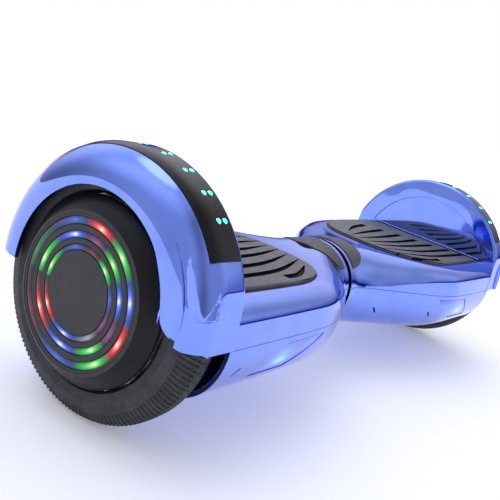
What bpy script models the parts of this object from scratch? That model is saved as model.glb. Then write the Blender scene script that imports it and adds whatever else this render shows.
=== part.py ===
"""Self-balancing two-wheel board, built as an assembly of separate pieces.

World frame: +X along the board through both wheels, -Y to the front, +Z up.
The origin is on the floor, midway between the wheels.  All sizes are in metres.
Each half is designed once in a "half frame" (u outboard, v across, z up):
the left half puts u on -X, and the right half is the same turned 180 degrees.
"""
import math

import bmesh
import bpy
from mathutils import Vector

# ---------------------------------------------------------------- dimensions
TYRE_R = 0.085
AXLE_Z = TYRE_R
PIVOT_Z = 0.075
GAP = 0.0003

SEAM_Z = 0.082
LOW_END_U = 0.2438
PANEL_R = 0.0735
PANEL_LOW_Z = 0.1115
WALL = 0.0026
COLLAR_U = 0.0030
SHELL_END_U = 0.2430
RIM_U = 0.2415
BELLY_Z = 0.0355
FRONT_FLAT = 0.0900
DRAFT = 0.07

FENDER_R = 0.0938
FENDER_WALL = 0.0032
FLARE_U = 0.2836
FLARE_LIP_R = 0.0648
CROWN_END_U = 0.2600
BLOCK_END_U = 0.2650

STRIP_U = (0.2450, 0.2700)
STRIP_ANGLE = (32.5, 147.5)
LED_ANGLES = (47.5, 59.5, 71.5, 83.5, 96.5, 108.5, 120.5, 132.5)
LED_U = (0.2490, 0.2550)

DECK_DEPTH = 0.0068
PAD_TOP = 0.1105
PAD_LIP = 0.1073
TRAY_Z = 0.1036

LENS_U = (0.1280, 0.1950)
LENS_Z = (0.0545, 0.0755)

# ---------------------------------------------------------------- materials
PALETTE = {
    "blue_chrome": ("#6A7BE0", 0.08, 1.0),
    "pad_rubber": ("#55514D", 0.70, 0.0),
    "gloss_black": ("#0C0C0E", 0.12, 0.0),
    "led_green": ("#3FE8B8", 0.30, 0.0),
    "led_mixed": ("#3C6BFF", 0.30, 0.0),
    "lamp_blue": ("#3F86FF", 0.20, 0.0),
    "tyre_rubber": ("#2E2E2F", 0.80, 0.0),
    "matte_plastic": ("#4A4845", 0.55, 0.0),
    "neck_plastic": ("#6F6A5E", 0.60, 0.0),
    "cast_aluminium": ("#B9BCC0", 0.40, 1.0),
    "steel": ("#8E9196", 0.30, 1.0),
    "copper": ("#B5673A", 0.40, 1.0),
    "board_green": ("#1E5A35", 0.50, 0.0),
    "shrink_wrap": ("#2B5FB4", 0.35, 0.0),
    "black_plastic": ("#161617", 0.45, 0.0),
}


def srgb(code):
    """Linear RGBA of an sRGB hex colour."""
    values = [int(code[i:i + 2], 16) / 255 for i in (1, 3, 5)]
    linear = [c / 12.92 if c <= 0.04045 else ((c + 0.055) / 1.055) ** 2.4 for c in values]
    return (*linear, 1.0)


def material(name):
    """The named Principled material, made the first time it is asked for."""
    if name in bpy.data.materials:
        return bpy.data.materials[name]
    colour, roughness, metallic = PALETTE[name]
    mat = bpy.data.materials.new(name)
    mat.use_nodes = True
    mat.diffuse_color = srgb(colour)
    shader = mat.node_tree.nodes["Principled BSDF"]
    shader.inputs["Base Color"].default_value = srgb(colour)
    shader.inputs["Roughness"].default_value = roughness
    shader.inputs["Metallic"].default_value = metallic
    return mat


# ---------------------------------------------------------------- mesh tools
def clear_scene():
    for old in list(bpy.data.objects):
        bpy.data.objects.remove(old, do_unlink=True)


def finish(bm, name, mat, side="left", smooth=35.0, origin=(0, 0, 0)):
    """Turn half-frame geometry (u on -X) into a named object, turned about Z on the right."""
    bmesh.ops.translate(bm, vec=-Vector(origin), verts=bm.verts)
    bmesh.ops.recalc_face_normals(bm, faces=bm.faces)
    mesh = bpy.data.meshes.new(name)
    bm.to_mesh(mesh)
    bm.free()
    mesh.shade_smooth()
    mesh.set_sharp_from_angle(angle=math.radians(smooth))
    obj = bpy.data.objects.new(name, mesh)
    flip = -1 if side == "right" else 1
    obj.location = (flip * origin[0], flip * origin[1], origin[2])
    obj.rotation_euler.z = math.pi if side == "right" else 0.0
    obj.data.materials.append(material(mat))
    bpy.context.collection.objects.link(obj)
    return obj


def as_cutter(obj):
    obj.hide_render = True
    obj.display_type = "WIRE"
    return obj


def combine(obj, other, operation):
    """Boolean `other` into `obj`, and keep `other` only as a guide."""
    as_cutter(other)
    modifier = obj.modifiers.new(f"{operation.lower()} {other.name}", "BOOLEAN")
    modifier.operation = operation
    modifier.solver = "EXACT"
    modifier.object = other
    return obj


def skin(bm, rings, closed_ring=True, cap=True):
    """Bridge rings of points with quads; cap the first and last ring."""
    loops = [[bm.verts.new(p) for p in ring] for ring in rings]
    count = len(loops[0])
    last = count if closed_ring else count - 1
    for a, b in zip(loops, loops[1:]):
        for i in range(last):
            j = (i + 1) % count
            bm.faces.new((a[i], a[j], b[j], b[i]))
    if cap:
        bm.faces.new(loops[0])
        bm.faces.new(loops[-1])
    return loops


def prism(bm, outline, low, high):
    """Solid between two heights from a list of (x, y) points."""
    skin(bm, [[(x, y, z) for x, y in outline] for z in (low, high)])


def block(bm, low, high):
    (x0, y0, z0), (x1, y1, z1) = low, high
    prism(bm, ((x0, y0), (x1, y0), (x1, y1), (x0, y1)), z0, z1)


def cylinder(bm, start, end, radius, sides=24, radius_end=None):
    """Solid rod from start to end, along any direction."""
    start, end = Vector(start), Vector(end)
    turn = Vector((0, 0, 1)).rotation_difference(end - start).to_matrix()
    rings = []
    for centre, r in ((start, radius), (end, radius if radius_end is None else radius_end)):
        angles = [2 * math.pi * i / sides for i in range(sides)]
        rings.append([centre + turn @ Vector((r * math.cos(a), r * math.sin(a), 0)) for a in angles])
    skin(bm, rings)


def turned(bm, profile, axis_z, sides=32):
    """Closed (u, r) profile spun once about the X axis line at height axis_z."""
    loops = []
    for i in range(sides):
        a = 2 * math.pi * i / sides
        loops.append([bm.verts.new((-u, r * math.cos(a), axis_z + r * math.sin(a))) for u, r in profile])
    count = len(profile)
    for a, b in zip(loops, loops[1:] + loops[:1]):
        for i in range(count):
            j = (i + 1) % count
            bm.faces.new((a[i], a[j], b[j], b[i]))


def turned_solid(bm, profile, axis_z, sides=32):
    """Open (u, r) profile spun about the X axis line, capped flat at both ends."""
    angles = [2 * math.pi * i / sides for i in range(sides)]
    rings = [[(-u, r * math.cos(a), axis_z + r * math.sin(a)) for a in angles] for u, r in profile]
    skin(bm, rings)


def spline(points, steps):
    """Catmull-Rom curve through 2-D points, with `steps` segments per span."""
    pts = [Vector(p) for p in points]
    pts = [2 * pts[0] - pts[1]] + pts + [2 * pts[-1] - pts[-2]]
    out = []
    for p0, p1, p2, p3 in zip(pts, pts[1:], pts[2:], pts[3:]):
        for i in range(steps):
            t = i / steps
            out.append(0.5 * (2 * p1 + (p2 - p0) * t + (2 * p0 - 5 * p1 + 4 * p2 - p3) * t ** 2
                              + (3 * p1 - p0 - 3 * p2 + p3) * t ** 3))
    return out + [pts[-2]]


def smoothstep(low, high, value):
    t = min(1.0, max(0.0, (value - low) / (high - low)))
    return t * t * (3 - 2 * t)


# ---------------------------------------------------------------- body form
# u, front half-width, rear half-width, deck height, front roll, rear roll, roll height
BODY = (
    (0.003, 0.0395, 0.0395, 0.1135, 0.0395, 0.0395, 0.0385),
    (0.014, 0.0400, 0.0400, 0.1132, 0.0390, 0.0390, 0.0370),
    (0.030, 0.0460, 0.0440, 0.1118, 0.0400, 0.0400, 0.0330),
    (0.050, 0.0600, 0.0525, 0.1100, 0.0370, 0.0430, 0.0270),
    (0.075, 0.0735, 0.0625, 0.1088, 0.0290, 0.0370, 0.0205),
    (0.110, 0.0848, 0.0770, 0.1082, 0.0220, 0.0230, 0.0150),
    (0.150, 0.0882, 0.0872, 0.1080, 0.0190, 0.0190, 0.0130),
    (0.243, 0.0899, 0.0899, 0.1080, 0.0180, 0.0180, 0.0130),
)
ROLL_STEPS = 5
BELLY_STEPS = 5


def body_at(u):
    """Interpolated section sizes of the body at one distance from the centre."""
    stations = [row[0] for row in BODY]
    u = min(max(u, stations[0]), stations[-1])
    k = max(i for i, s in enumerate(stations[:-1]) if s <= u)
    rows = [BODY[max(k - 1, 0)], BODY[k], BODY[k + 1], BODY[min(k + 2, len(BODY) - 1)]]
    t = (u - rows[1][0]) / (rows[2][0] - rows[1][0])
    span = rows[2][0] - rows[1][0]
    values = []
    for c in range(1, 7):
        slope_in = (rows[2][c] - rows[0][c]) / (rows[2][0] - rows[0][0])
        slope_out = (rows[3][c] - rows[1][c]) / (rows[3][0] - rows[1][0])
        h1 = 2 * t ** 3 - 3 * t ** 2 + 1
        h2 = t ** 3 - 2 * t ** 2 + t
        h3 = 3 * t ** 2 - 2 * t ** 3
        h4 = t ** 3 - t ** 2
        values.append(h1 * rows[1][c] + h2 * span * slope_in + h3 * rows[2][c] + h4 * span * slope_out)
    return values


def body_section(u, inset=0.0, deck_inset=None):
    """Closed ring of (x, y, z) points round the body at distance u."""
    front, rear, deck, roll_f, roll_r, roll_h = body_at(u)
    deck_inset = inset if deck_inset is None else deck_inset
    wide_z = PIVOT_Z + 0.005 * smoothstep(0.02, 0.11, u)
    draft = DRAFT * max(0.0, deck - roll_h - wide_z)
    front, rear, deck = front - inset, rear - inset, deck - deck_inset
    belly = BELLY_Z + inset
    roll_z = max(deck - roll_h, wide_z + 0.0015)
    ring = []

    def quarter(side, half, low_z, high_z, roll, tilt, steps, upward):
        for i in range(steps + 1):
            a = math.radians(90 * i / steps)
            if not upward:
                a = math.pi / 2 - a
            y = half - tilt - roll * (1 - math.cos(a))
            ring.append((-u, side * y, low_z + (high_z - low_z) * math.sin(a)))

    quarter(-1, front, roll_z, deck, min(roll_f, front - 0.001), draft, ROLL_STEPS, True)
    quarter(1, rear, roll_z, deck, min(roll_r, rear - 0.001), draft, ROLL_STEPS, False)
    low_roll_r = min(rear - 0.001, 0.0385)
    low_roll_f = min(front - 0.001, 0.0385)
    quarter(1, rear, wide_z, belly, low_roll_r, 0.0, BELLY_STEPS, True)
    quarter(-1, front, wide_z, belly, low_roll_f, 0.0, BELLY_STEPS, False)
    return ring


def body_solid(name, side, stations, inset=0.0):
    bm = bmesh.new()
    skin(bm, [body_section(u, inset) for u in stations])
    return finish(bm, name, "blue_chrome", side)


# ---------------------------------------------------------------- fender form
RIM_CHAMFER = ((0.0, 0.0030), (0.0016, 0.0008), (0.0040, 0.0))


def crown_radius(u):
    """Radius of the fender's outside: level over the wheel, then rounding down to the lip."""
    reach = FLARE_U - CROWN_END_U
    slide = min(1.0, max(0.0, (u - CROWN_END_U) / reach))
    lip = FLARE_LIP_R + 0.001
    return lip + (FENDER_R - lip) * math.sqrt(1 - slide * slide)


def valley_depth(theta, u):
    """Depth of the scooped valley beside the teardrop, at polar angle theta."""
    height = math.sin(theta)
    rise = math.degrees(math.asin(height)) if height > 0 else 0.0
    start = BLOCK_END_U + 0.0145 * smoothstep(11, 42, rise)
    end = 0.2795 + 0.0036 * (1 - smoothstep(0, 36, rise))
    if rise > 46 or not start < u < end:
        return 0.0
    across = (u - start) / (end - start)
    return 0.0045 * math.sin(math.pi * across) ** 0.6 * (1 - smoothstep(20, 46, rise))


def fender_rings(inset, inner_u, steps=40):
    """Rings of the fender surface from its inner wall to the flare lip."""
    if inset:
        spots = [(inner_u, FENDER_R - inset)]
        phis = (0, 45, 90)
    else:
        spots = [(inner_u + du, FENDER_R - dr) for du, dr in RIM_CHAMFER]
        phis = (0, 22, 42, 58, 74, 90)
    reach = FLARE_U - CROWN_END_U - inset
    for phi in phis:
        u = CROWN_END_U + reach * math.sin(math.radians(phi))
        rise = (FENDER_R - FLARE_LIP_R - 0.001 - inset) * math.cos(math.radians(phi))
        spots.append((u, FLARE_LIP_R + 0.001 + rise))
    edge = FENDER_R - inset - (FENDER_R - crown_radius(BLOCK_END_U))
    spots += [(BLOCK_END_U - 0.0005, edge), (BLOCK_END_U + 0.0005, edge)]
    rings = []
    for u, r in sorted(spots):
        ring = []
        for i in range(steps):
            theta = 2 * math.pi * (i + 0.5) / steps
            radius = r - valley_depth(theta, u)
            if u < BLOCK_END_U:
                z_rel = radius * math.sin(theta)
                flat = FRONT_FLAT - inset - DRAFT * max(0.0, z_rel + AXLE_Z - SEAM_Z)
                radius = min(radius, flat / max(abs(math.cos(theta)), 1e-6))
            ring.append((-u, radius * math.cos(theta), AXLE_Z + radius * math.sin(theta)))
        rings.append(ring)
    return rings


def fender_solid(name, side, inset=0.0, inner_u=RIM_U, run_out=0.0):
    bm = bmesh.new()
    rings = fender_rings(inset, inner_u)
    if run_out:
        lip = [(x, y, z) for x, y, z in rings[-1]]
        rings.append([(x - run_out, y, z) for x, y, z in lip])
    skin(bm, rings)
    bmesh.ops.triangulate(bm, faces=[f for f in bm.faces if len(f.verts) == 4])
    return finish(bm, name, "blue_chrome", side)


def crown_band(bm, us, drops, angles, steps, stations=4):
    """Solid band that follows the crown, between two depths below its surface."""
    across = [us[0] + (us[1] - us[0]) * k / (stations - 1) for k in range(stations)]
    rings = []
    for i in range(steps + 1):
        a = math.radians(angles[0] + (angles[1] - angles[0]) * i / steps)
        corners = [(u, crown_radius(u) - drops[0]) for u in across]
        corners += [(u, crown_radius(u) - drops[1]) for u in reversed(across)]
        rings.append([(-u, -r * math.cos(a), AXLE_Z + r * math.sin(a)) for u, r in corners])
    skin(bm, rings)


# ---------------------------------------------------------------- foot pad form
PAD_OUTLINE = (
    (-0.2385, -0.0660), (-0.1700, -0.0655), (-0.1350, -0.0640), (-0.1110, -0.0600), (-0.0950, -0.0510),
    (-0.0845, -0.0340), (-0.0800, -0.0120), (-0.0850, 0.0100), (-0.0970, 0.0330), (-0.1150, 0.0520),
    (-0.1380, 0.0640), (-0.1700, 0.0655), (-0.2385, 0.0660),
)


def pad_outline(grow=0.0):
    """Pad outline as a smooth curve, grown outwards by a few tenths of a millimetre."""
    curve = spline(PAD_OUTLINE[1:-1], 2)
    points = [Vector(PAD_OUTLINE[0])] + curve + [Vector(PAD_OUTLINE[-1])]
    centre = Vector((-0.145, 0.0))
    grown = []
    for i, p in enumerate(points):
        before, after = points[i - 1], points[(i + 1) % len(points)]
        along = (after - before).normalized()
        normal = Vector((along.y, -along.x))
        if normal.dot(p - centre) < 0:
            normal = -normal
        if i in (0, len(points) - 1):
            normal = Vector((-1, math.copysign(1, p.y)))
        grown.append(p + normal * grow)
    return [(p.x, p.y) for p in grown]


# blunt end, bend and pointed end of each tapered groove between the ribs
GROOVES = (
    ((-0.176, 0.045), (-0.140, 0.035), (-0.099, 0.024)),
    ((-0.189, 0.030), (-0.140, 0.022), (-0.092, 0.014)),
    ((-0.202, 0.014), (-0.148, 0.010), (-0.090, 0.006)),
    ((-0.211, -0.003), (-0.150, -0.002), (-0.088, 0.000)),
    ((-0.219, -0.020), (-0.155, -0.017), (-0.090, -0.009)),
    ((-0.231, -0.036), (-0.165, -0.031), (-0.091, -0.018)),
    ((-0.236, -0.052), (-0.165, -0.045), (-0.094, -0.028)),
)
GROOVE_WIDTH = 0.0058


def groove(bm, blunt, bend, tip, lean):
    """Curved wedge: full width at the blunt end, closing to a point at the tip."""
    path = spline([(u, lean * v) for u, v in (blunt, bend, tip)], 3)
    left, right = [], []
    for i, p in enumerate(path):
        ahead = path[min(i + 1, len(path) - 1)] - path[max(i - 1, 0)]
        normal = Vector((-ahead.y, ahead.x)).normalized()
        width = GROOVE_WIDTH * (1 - 0.86 * i / (len(path) - 1)) / 2
        left.append(p + normal * width)
        right.append(p - normal * width)
    prism(bm, [tuple(p) for p in left + right[::-1]], PAD_TOP - 0.0022, PAD_TOP + 0.002)


# ---------------------------------------------------------------- shells
STATIONS = (0.003, 0.012, 0.022, 0.034, 0.048, 0.064, 0.084, 0.110, 0.140, 0.180, SHELL_END_U)
CAVITY = (-0.010, 0.020, 0.050, 0.080, 0.115, 0.150, RIM_U - WALL)
NECK_U = (0.0085, 0.0365)
NECK_ANGLE = (36, 144)


def seam_box(name, side, low, high):
    bm = bmesh.new()
    block(bm, (-0.32, -0.12, low), (0.02, 0.12, high))
    return finish(bm, name, "blue_chrome", side)


def cavity_solid(name, side, end_u):
    """Hollow inside both shells, open through the collar."""
    bm = bmesh.new()
    stations = CAVITY[:-1] + (end_u,)
    rings = []
    for u in stations:
        under_deck = WALL + (DECK_DEPTH - WALL) * smoothstep(0.02, 0.06, u)
        rings.append([(-u, y, z) for _, y, z in body_section(max(u, COLLAR_U), WALL, under_deck)])
    skin(bm, rings)
    return finish(bm, name, "blue_chrome", side)


def neck_patch(bm, low, high, grow=0.0):
    """Curved patch over the top of the collar end, between two offsets from the body."""
    steps = 10
    span = (math.radians(NECK_ANGLE[0] - 60 * grow), math.radians(NECK_ANGLE[1] + 60 * grow))
    rings = []
    for i in range(steps + 1):
        a = span[0] + (span[1] - span[0]) * (i / steps)
        lobe = math.sin(math.pi * (i / steps)) ** 0.55
        inner_u = NECK_U[0] - grow
        outer_u = inner_u + 0.0035 + 2 * grow + (NECK_U[1] - NECK_U[0]) * lobe
        ring = []
        for offset, us in ((low, (inner_u, (inner_u + outer_u) / 2, outer_u)),
                           (high, (outer_u, (inner_u + outer_u) / 2, inner_u))):
            for u in us:
                r = neck_radius(a, u) + offset
                ring.append((-u, -r * math.cos(a), PIVOT_Z + r * math.sin(a)))
        rings.append(ring)
    skin(bm, rings)


def neck_radius(angle, u):
    """Distance from the pivot axis to the body surface along a polar angle."""
    ring = body_section(u)[:2 * ROLL_STEPS + 2]
    polar = [(math.atan2(z - PIVOT_Z, -y), math.hypot(y, z - PIVOT_Z)) for _, y, z in ring]
    for (a0, r0), (a1, r1) in zip(polar, polar[1:]):
        if a0 <= angle <= a1:
            t = (angle - a0) / (a1 - a0)
            return r0 + (r1 - r0) * t
    return polar[0][1] if angle < polar[0][0] else polar[-1][1]


def lens_outline(grow=0.0):
    """Slanted four-cornered lamp outline seen from the front, as (u, z)."""
    slant = 0.011
    (u0, u1), (z0, z1) = LENS_U, LENS_Z
    return ((u0 + slant - grow, z0 - grow), (u1 + grow, z0 - grow),
            (u1 - slant + grow, z1 + grow), (u0 - grow, z1 + grow))


def lens_block(bm, facing, near, far, grow=0.0):
    """Lamp outline pushed through the front (-1) or rear (+1) wall."""
    rings = [[(-u, facing * y, z) for u, z in lens_outline(grow)] for y in (near, far)]
    skin(bm, rings)


def make_top_shell(side):
    shell = body_solid(f"{side}_top_shell", side, STATIONS)
    combine(shell, fender_solid(f"guide_{side}_fender", side), "UNION")
    combine(shell, cavity_solid(f"guide_{side}_top_cavity", side, RIM_U - 0.0002), "DIFFERENCE")
    well = fender_solid(f"guide_{side}_well", side, FENDER_WALL, RIM_U + WALL, 0.02)
    combine(shell, well, "DIFFERENCE")
    combine(shell, seam_box(f"guide_{side}_below_seam", side, -0.02, SEAM_Z), "DIFFERENCE")

    bm = bmesh.new()
    prism(bm, pad_outline(0.0005), TRAY_Z, 0.13)
    tray = finish(bm, f"guide_{side}_pad_tray", "blue_chrome", side)
    bm = bmesh.new()
    for u, v in PLUNGERS:
        block(bm, (-u - 0.0085, v - 0.006, 0.096), (-u + 0.0085, v + 0.006, TRAY_Z + 0.001))
    slots = finish(bm, f"guide_{side}_plunger_slots", "blue_chrome", side)

    bm = bmesh.new()
    crown_band(bm, (STRIP_U[0] - GAP, STRIP_U[1] + GAP), (0.0024, -0.004),
               (STRIP_ANGLE[0] - 0.2, STRIP_ANGLE[1] + 0.2), 16)
    strip_bed = finish(bm, f"guide_{side}_strip_bed", "blue_chrome", side)

    bm = bmesh.new()
    neck_patch(bm, -0.0011, 0.004, GAP)
    neck_bed = finish(bm, f"guide_{side}_neck_bed", "blue_chrome", side)

    bm = bmesh.new()
    cylinder(bm, (-0.20, 0, AXLE_Z), (-0.26, 0, AXLE_Z), 0.0105, 16)
    notch = finish(bm, f"guide_{side}_axle_notch", "blue_chrome", side)

    bm = bmesh.new()
    low = PANEL_LOW_Z - AXLE_Z
    start = math.asin(low / PANEL_R)
    angles = [start + (math.pi - 2 * start) * i / 16 for i in range(17)]
    face = [(PANEL_R * math.cos(a), AXLE_Z + PANEL_R * math.sin(a)) for a in angles]
    skin(bm, [[(-u, y, z) for y, z in face] for u in (0.2200, RIM_U + 0.0011)])
    panel = finish(bm, f"guide_{side}_panel_recess", "blue_chrome", side)

    for cutter in (tray, slots, strip_bed, neck_bed, notch, panel):
        combine(shell, cutter, "DIFFERENCE")
    return shell


def make_bottom_shell(side):
    shell = body_solid(f"{side}_bottom_shell", side, STATIONS[:-1] + (LOW_END_U,))
    combine(shell, cavity_solid(f"guide_{side}_low_cavity", side, LOW_END_U - 0.0130), "DIFFERENCE")
    bm = bmesh.new()
    rings = [[(-u, y, z) for _, y, z in body_section(LOW_END_U, WALL)] for u in (LOW_END_U - 0.0100, 0.26)]
    skin(bm, rings)
    combine(shell, finish(bm, f"guide_{side}_end_recess", "blue_chrome", side), "DIFFERENCE")
    combine(shell, seam_box(f"guide_{side}_above_seam", side, SEAM_Z - GAP, 0.14), "DIFFERENCE")
    bm = bmesh.new()
    cylinder(bm, (-0.20, 0, AXLE_Z), (-0.26, 0, AXLE_Z), 0.0125, 16)
    combine(shell, finish(bm, f"guide_{side}_low_notch", "blue_chrome", side), "DIFFERENCE")
    for facing in (-1, 1):
        bm = bmesh.new()
        lens_block(bm, facing, 0.05, 0.11, GAP)
        combine(shell, finish(bm, f"guide_{side}_lens_hole_{facing}", "blue_chrome", side), "DIFFERENCE")
    return shell


def make_lens(side, facing, name):
    """Lamp lens: a slab that follows the shell's surface, with a backing lip."""
    bm = bmesh.new()
    lens_block(bm, facing, 0.05, 0.11)
    lens = finish(bm, name, "lamp_blue", side)
    skin_bm = bmesh.new()
    rings = [[(-u, y, z) for _, y, z in body_section(u, 0.0002)] for u in (0.10, 0.14, 0.18, 0.22)]
    skin(skin_bm, rings)
    combine(lens, finish(skin_bm, f"guide_{name}_outside", "lamp_blue", side), "INTERSECT")
    core_bm = bmesh.new()
    rings = [[(-u, y, z) for _, y, z in body_section(u, 0.0030)] for u in (0.10, 0.14, 0.18, 0.22)]
    skin(core_bm, rings)
    combine(lens, finish(core_bm, f"guide_{name}_inside", "lamp_blue", side), "DIFFERENCE")
    return lens


def make_foot_pad(side):
    bm = bmesh.new()
    rings = []
    for z, grow in ((PAD_LIP - 0.0018, 0.0), (PAD_TOP - 0.0010, 0.0), (PAD_TOP, -0.0011)):
        rings.append([(x, y, z) for x, y in pad_outline(grow)])
    skin(bm, rings)
    pad = finish(bm, f"{side}_foot_pad", "pad_rubber", side)
    bm = bmesh.new()
    lean = -1 if side == "right" else 1
    for blunt, bend, tip in GROOVES:
        groove(bm, blunt, bend, tip, lean)
    combine(pad, finish(bm, f"guide_{side}_grooves", "pad_rubber", side), "DIFFERENCE")
    bm = bmesh.new()
    for u, v in PLUNGERS:
        block(bm, (-u - 0.006, v - 0.004, 0.0992), (-u + 0.006, v + 0.004, PAD_LIP - 0.001))
    combine(pad, finish(bm, f"guide_{side}_plungers", "pad_rubber", side), "UNION")
    return pad


def make_neck_cover(side):
    bm = bmesh.new()
    neck_patch(bm, -0.0008, 0.0006)
    return finish(bm, f"{side}_neck_cover", "neck_plastic", side)


PLUNGERS = ((0.190, -0.040), (0.190, 0.034), (0.100, -0.022))


def make_fender_lights(side):
    """Gloss strip let into the crown, and the lamp tape whose domes pass through it."""
    bm = bmesh.new()
    crown_band(bm, STRIP_U, (0.0010, -0.0003), STRIP_ANGLE, 16)
    strip = finish(bm, f"{side}_fender_strip", "gloss_black", side)
    bm = bmesh.new()
    crown_band(bm, (LED_U[0] - 0.003, LED_U[1] + 0.004), (0.0021, 0.0013),
               (STRIP_ANGLE[0] + 6, STRIP_ANGLE[1] - 6), 16, 2)
    tape = finish(bm, f"{side}_fender_lamps", "led_green", side)
    holes, domes = bmesh.new(), bmesh.new()
    for angle in LED_ANGLES:
        a = math.radians(angle)
        out = Vector((0, -math.cos(a), math.sin(a)))
        for u in LED_U:
            foot = Vector((-u, 0, AXLE_Z)) + out * FENDER_R
            cylinder(holes, foot - out * 0.0020, foot + out * 0.0030, 0.0024, 6)
            cylinder(domes, foot - out * 0.0018, foot + out * 0.0006, 0.0020, 6, 0.0013)
    combine(strip, finish(holes, f"guide_{side}_lamp_holes", "gloss_black", side), "DIFFERENCE")
    combine(tape, finish(domes, f"guide_{side}_lamp_domes", "led_green", side), "UNION")
    return strip, tape


# ---------------------------------------------------------------- wheel and motor
TYRE_PROFILE = (
    (0.2462, 0.0640), (0.2464, 0.0745), (0.2484, 0.0810), (0.2530, 0.0845), (0.2590, 0.0850), (0.2650, 0.0850),
    (0.2698, 0.0824), (0.2736, 0.0770), (0.2762, 0.0690), (0.2750, 0.0630), (0.2715, 0.0620), (0.2480, 0.0620),
)
RIM_PROFILE = (
    (0.2478, 0.0613), (0.2742, 0.0613), (0.2742, 0.0110), (0.2692, 0.0110), (0.2692, 0.0575),
    (0.2676, 0.0575), (0.2676, 0.0545), (0.2500, 0.0545), (0.2500, 0.0575), (0.2478, 0.0575),
)
SIDE_COVER_PROFILE = (
    (0.2452, 0.0600), (0.2475, 0.0600), (0.2475, 0.0200), (0.2500, 0.0200), (0.2500, 0.0140), (0.2452, 0.0140),
)
OUTER_BEARING = ((0.2695, 0.0107), (0.2740, 0.0107), (0.2740, 0.0063), (0.2695, 0.0063))
INNER_BEARING = ((0.2455, 0.0137), (0.2498, 0.0137), (0.2498, 0.0083), (0.2455, 0.0083))
AXLE_PROFILE = (
    (0.1920, 0.0072), (0.1932, 0.0080), (0.2503, 0.0080), (0.2503, 0.0200), (0.2668, 0.0200),
    (0.2668, 0.0090), (0.2689, 0.0090), (0.2689, 0.0060), (0.2745, 0.0060),
)
LIGHT_RINGS = {"inner": (0.0260, 0.0306), "middle": (0.0340, 0.0393), "outer": (0.0425, 0.0483)}
HUB_FACE_U = 0.2868
CHANNEL_U = 0.2850
STATOR_TEETH = 12


def make_hub_cover(side, pivot):
    """Wheel cover: bevelled dish with a channel for each light ring."""
    profile = [(0.2825, 0.010), (0.2825, 0.0495), (0.2752, 0.0575), (0.2752, 0.0600), (0.2764, 0.0607),
               (0.2778, 0.0602), (0.2860, 0.0514), (HUB_FACE_U, 0.0504)]
    for name in ("outer", "middle", "inner"):
        low, high = LIGHT_RINGS[name]
        profile += [(HUB_FACE_U, high + GAP), (CHANNEL_U, high + GAP),
                    (CHANNEL_U, low - GAP), (HUB_FACE_U, low - GAP)]
    profile += [(HUB_FACE_U, 0.010)]
    bm = bmesh.new()
    turned_solid(bm, profile, AXLE_Z, 24)
    return finish(bm, f"{side}_hub_cover", "matte_plastic", side, 30, pivot)


def make_light_ring(side, name, pivot):
    low, high = LIGHT_RINGS[name]
    crest = (HUB_FACE_U + 0.0004, (low + high) / 2)
    bm = bmesh.new()
    turned(bm, ((CHANNEL_U + GAP, low), (CHANNEL_U + GAP, high), crest), AXLE_Z, 24)
    return finish(bm, f"{side}_light_ring_{name}", "led_mixed", side, 20, pivot)


def make_stator(side):
    """Laminated core with flared teeth round the fixed hub."""
    points = []
    for i in range(STATOR_TEETH):
        base = 2 * math.pi * i / STATOR_TEETH
        for share, r in ((-0.42, 0.0530), (0.42, 0.0530), (0.20, 0.0490),
                         (0.20, 0.0300), (0.80, 0.0300), (0.80, 0.0490)):
            a = base + share * 2 * math.pi / STATOR_TEETH
            points.append((r * math.cos(a), AXLE_Z + r * math.sin(a)))
    bm = bmesh.new()
    skin(bm, [[(-u, y, z) for y, z in points] for u in (0.2506, 0.2664)])
    stator = finish(bm, f"{side}_motor_stator", "copper", side)
    bm = bmesh.new()
    cylinder(bm, (-0.23, 0, AXLE_Z), (-0.28, 0, AXLE_Z), 0.0206, 16)
    return combine(stator, finish(bm, f"guide_{side}_stator_bore", "copper", side), "DIFFERENCE")


def make_wheel(side):
    pivot = (-0.2610, 0, AXLE_Z)
    for name, profile, mat, sides in (
            ("tyre", TYRE_PROFILE, "tyre_rubber", 36), ("motor_rim", RIM_PROFILE, "cast_aluminium", 18),
            ("motor_side_cover", SIDE_COVER_PROFILE, "cast_aluminium", 18),
            ("outer_bearing", OUTER_BEARING, "steel", 12), ("inner_bearing", INNER_BEARING, "steel", 12)):
        bm = bmesh.new()
        turned(bm, profile, AXLE_Z, sides)
        finish(bm, f"{side}_{name}", mat, side, 35, pivot)
    make_hub_cover(side, pivot)
    for name in LIGHT_RINGS:
        make_light_ring(side, name, pivot)
    bm = bmesh.new()
    turned(bm, ((0.2790, 0.0240), (0.2802, 0.0240), (0.2802, 0.0490), (0.2790, 0.0490)), AXLE_Z, 18)
    finish(bm, f"{side}_wheel_light_board", "board_green", side, 35, pivot)
    make_stator(side)
    bm = bmesh.new()
    turned_solid(bm, AXLE_PROFILE, AXLE_Z, 16)
    finish(bm, f"{side}_axle", "steel", side)


# ---------------------------------------------------------------- chassis
PLATE = ((0.016, 0.026), (0.045, 0.036), (0.085, 0.050), (0.120, 0.060), (0.2360, 0.060))
PLATE_Z = (0.0880, 0.0935)
SLEEVE_U = (0.012, 0.062)
SLEEVE_R = 0.0195
TUBE_R = 0.0142
TUBE_BORE_R = 0.0105
STOP_U = 0.035


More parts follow.
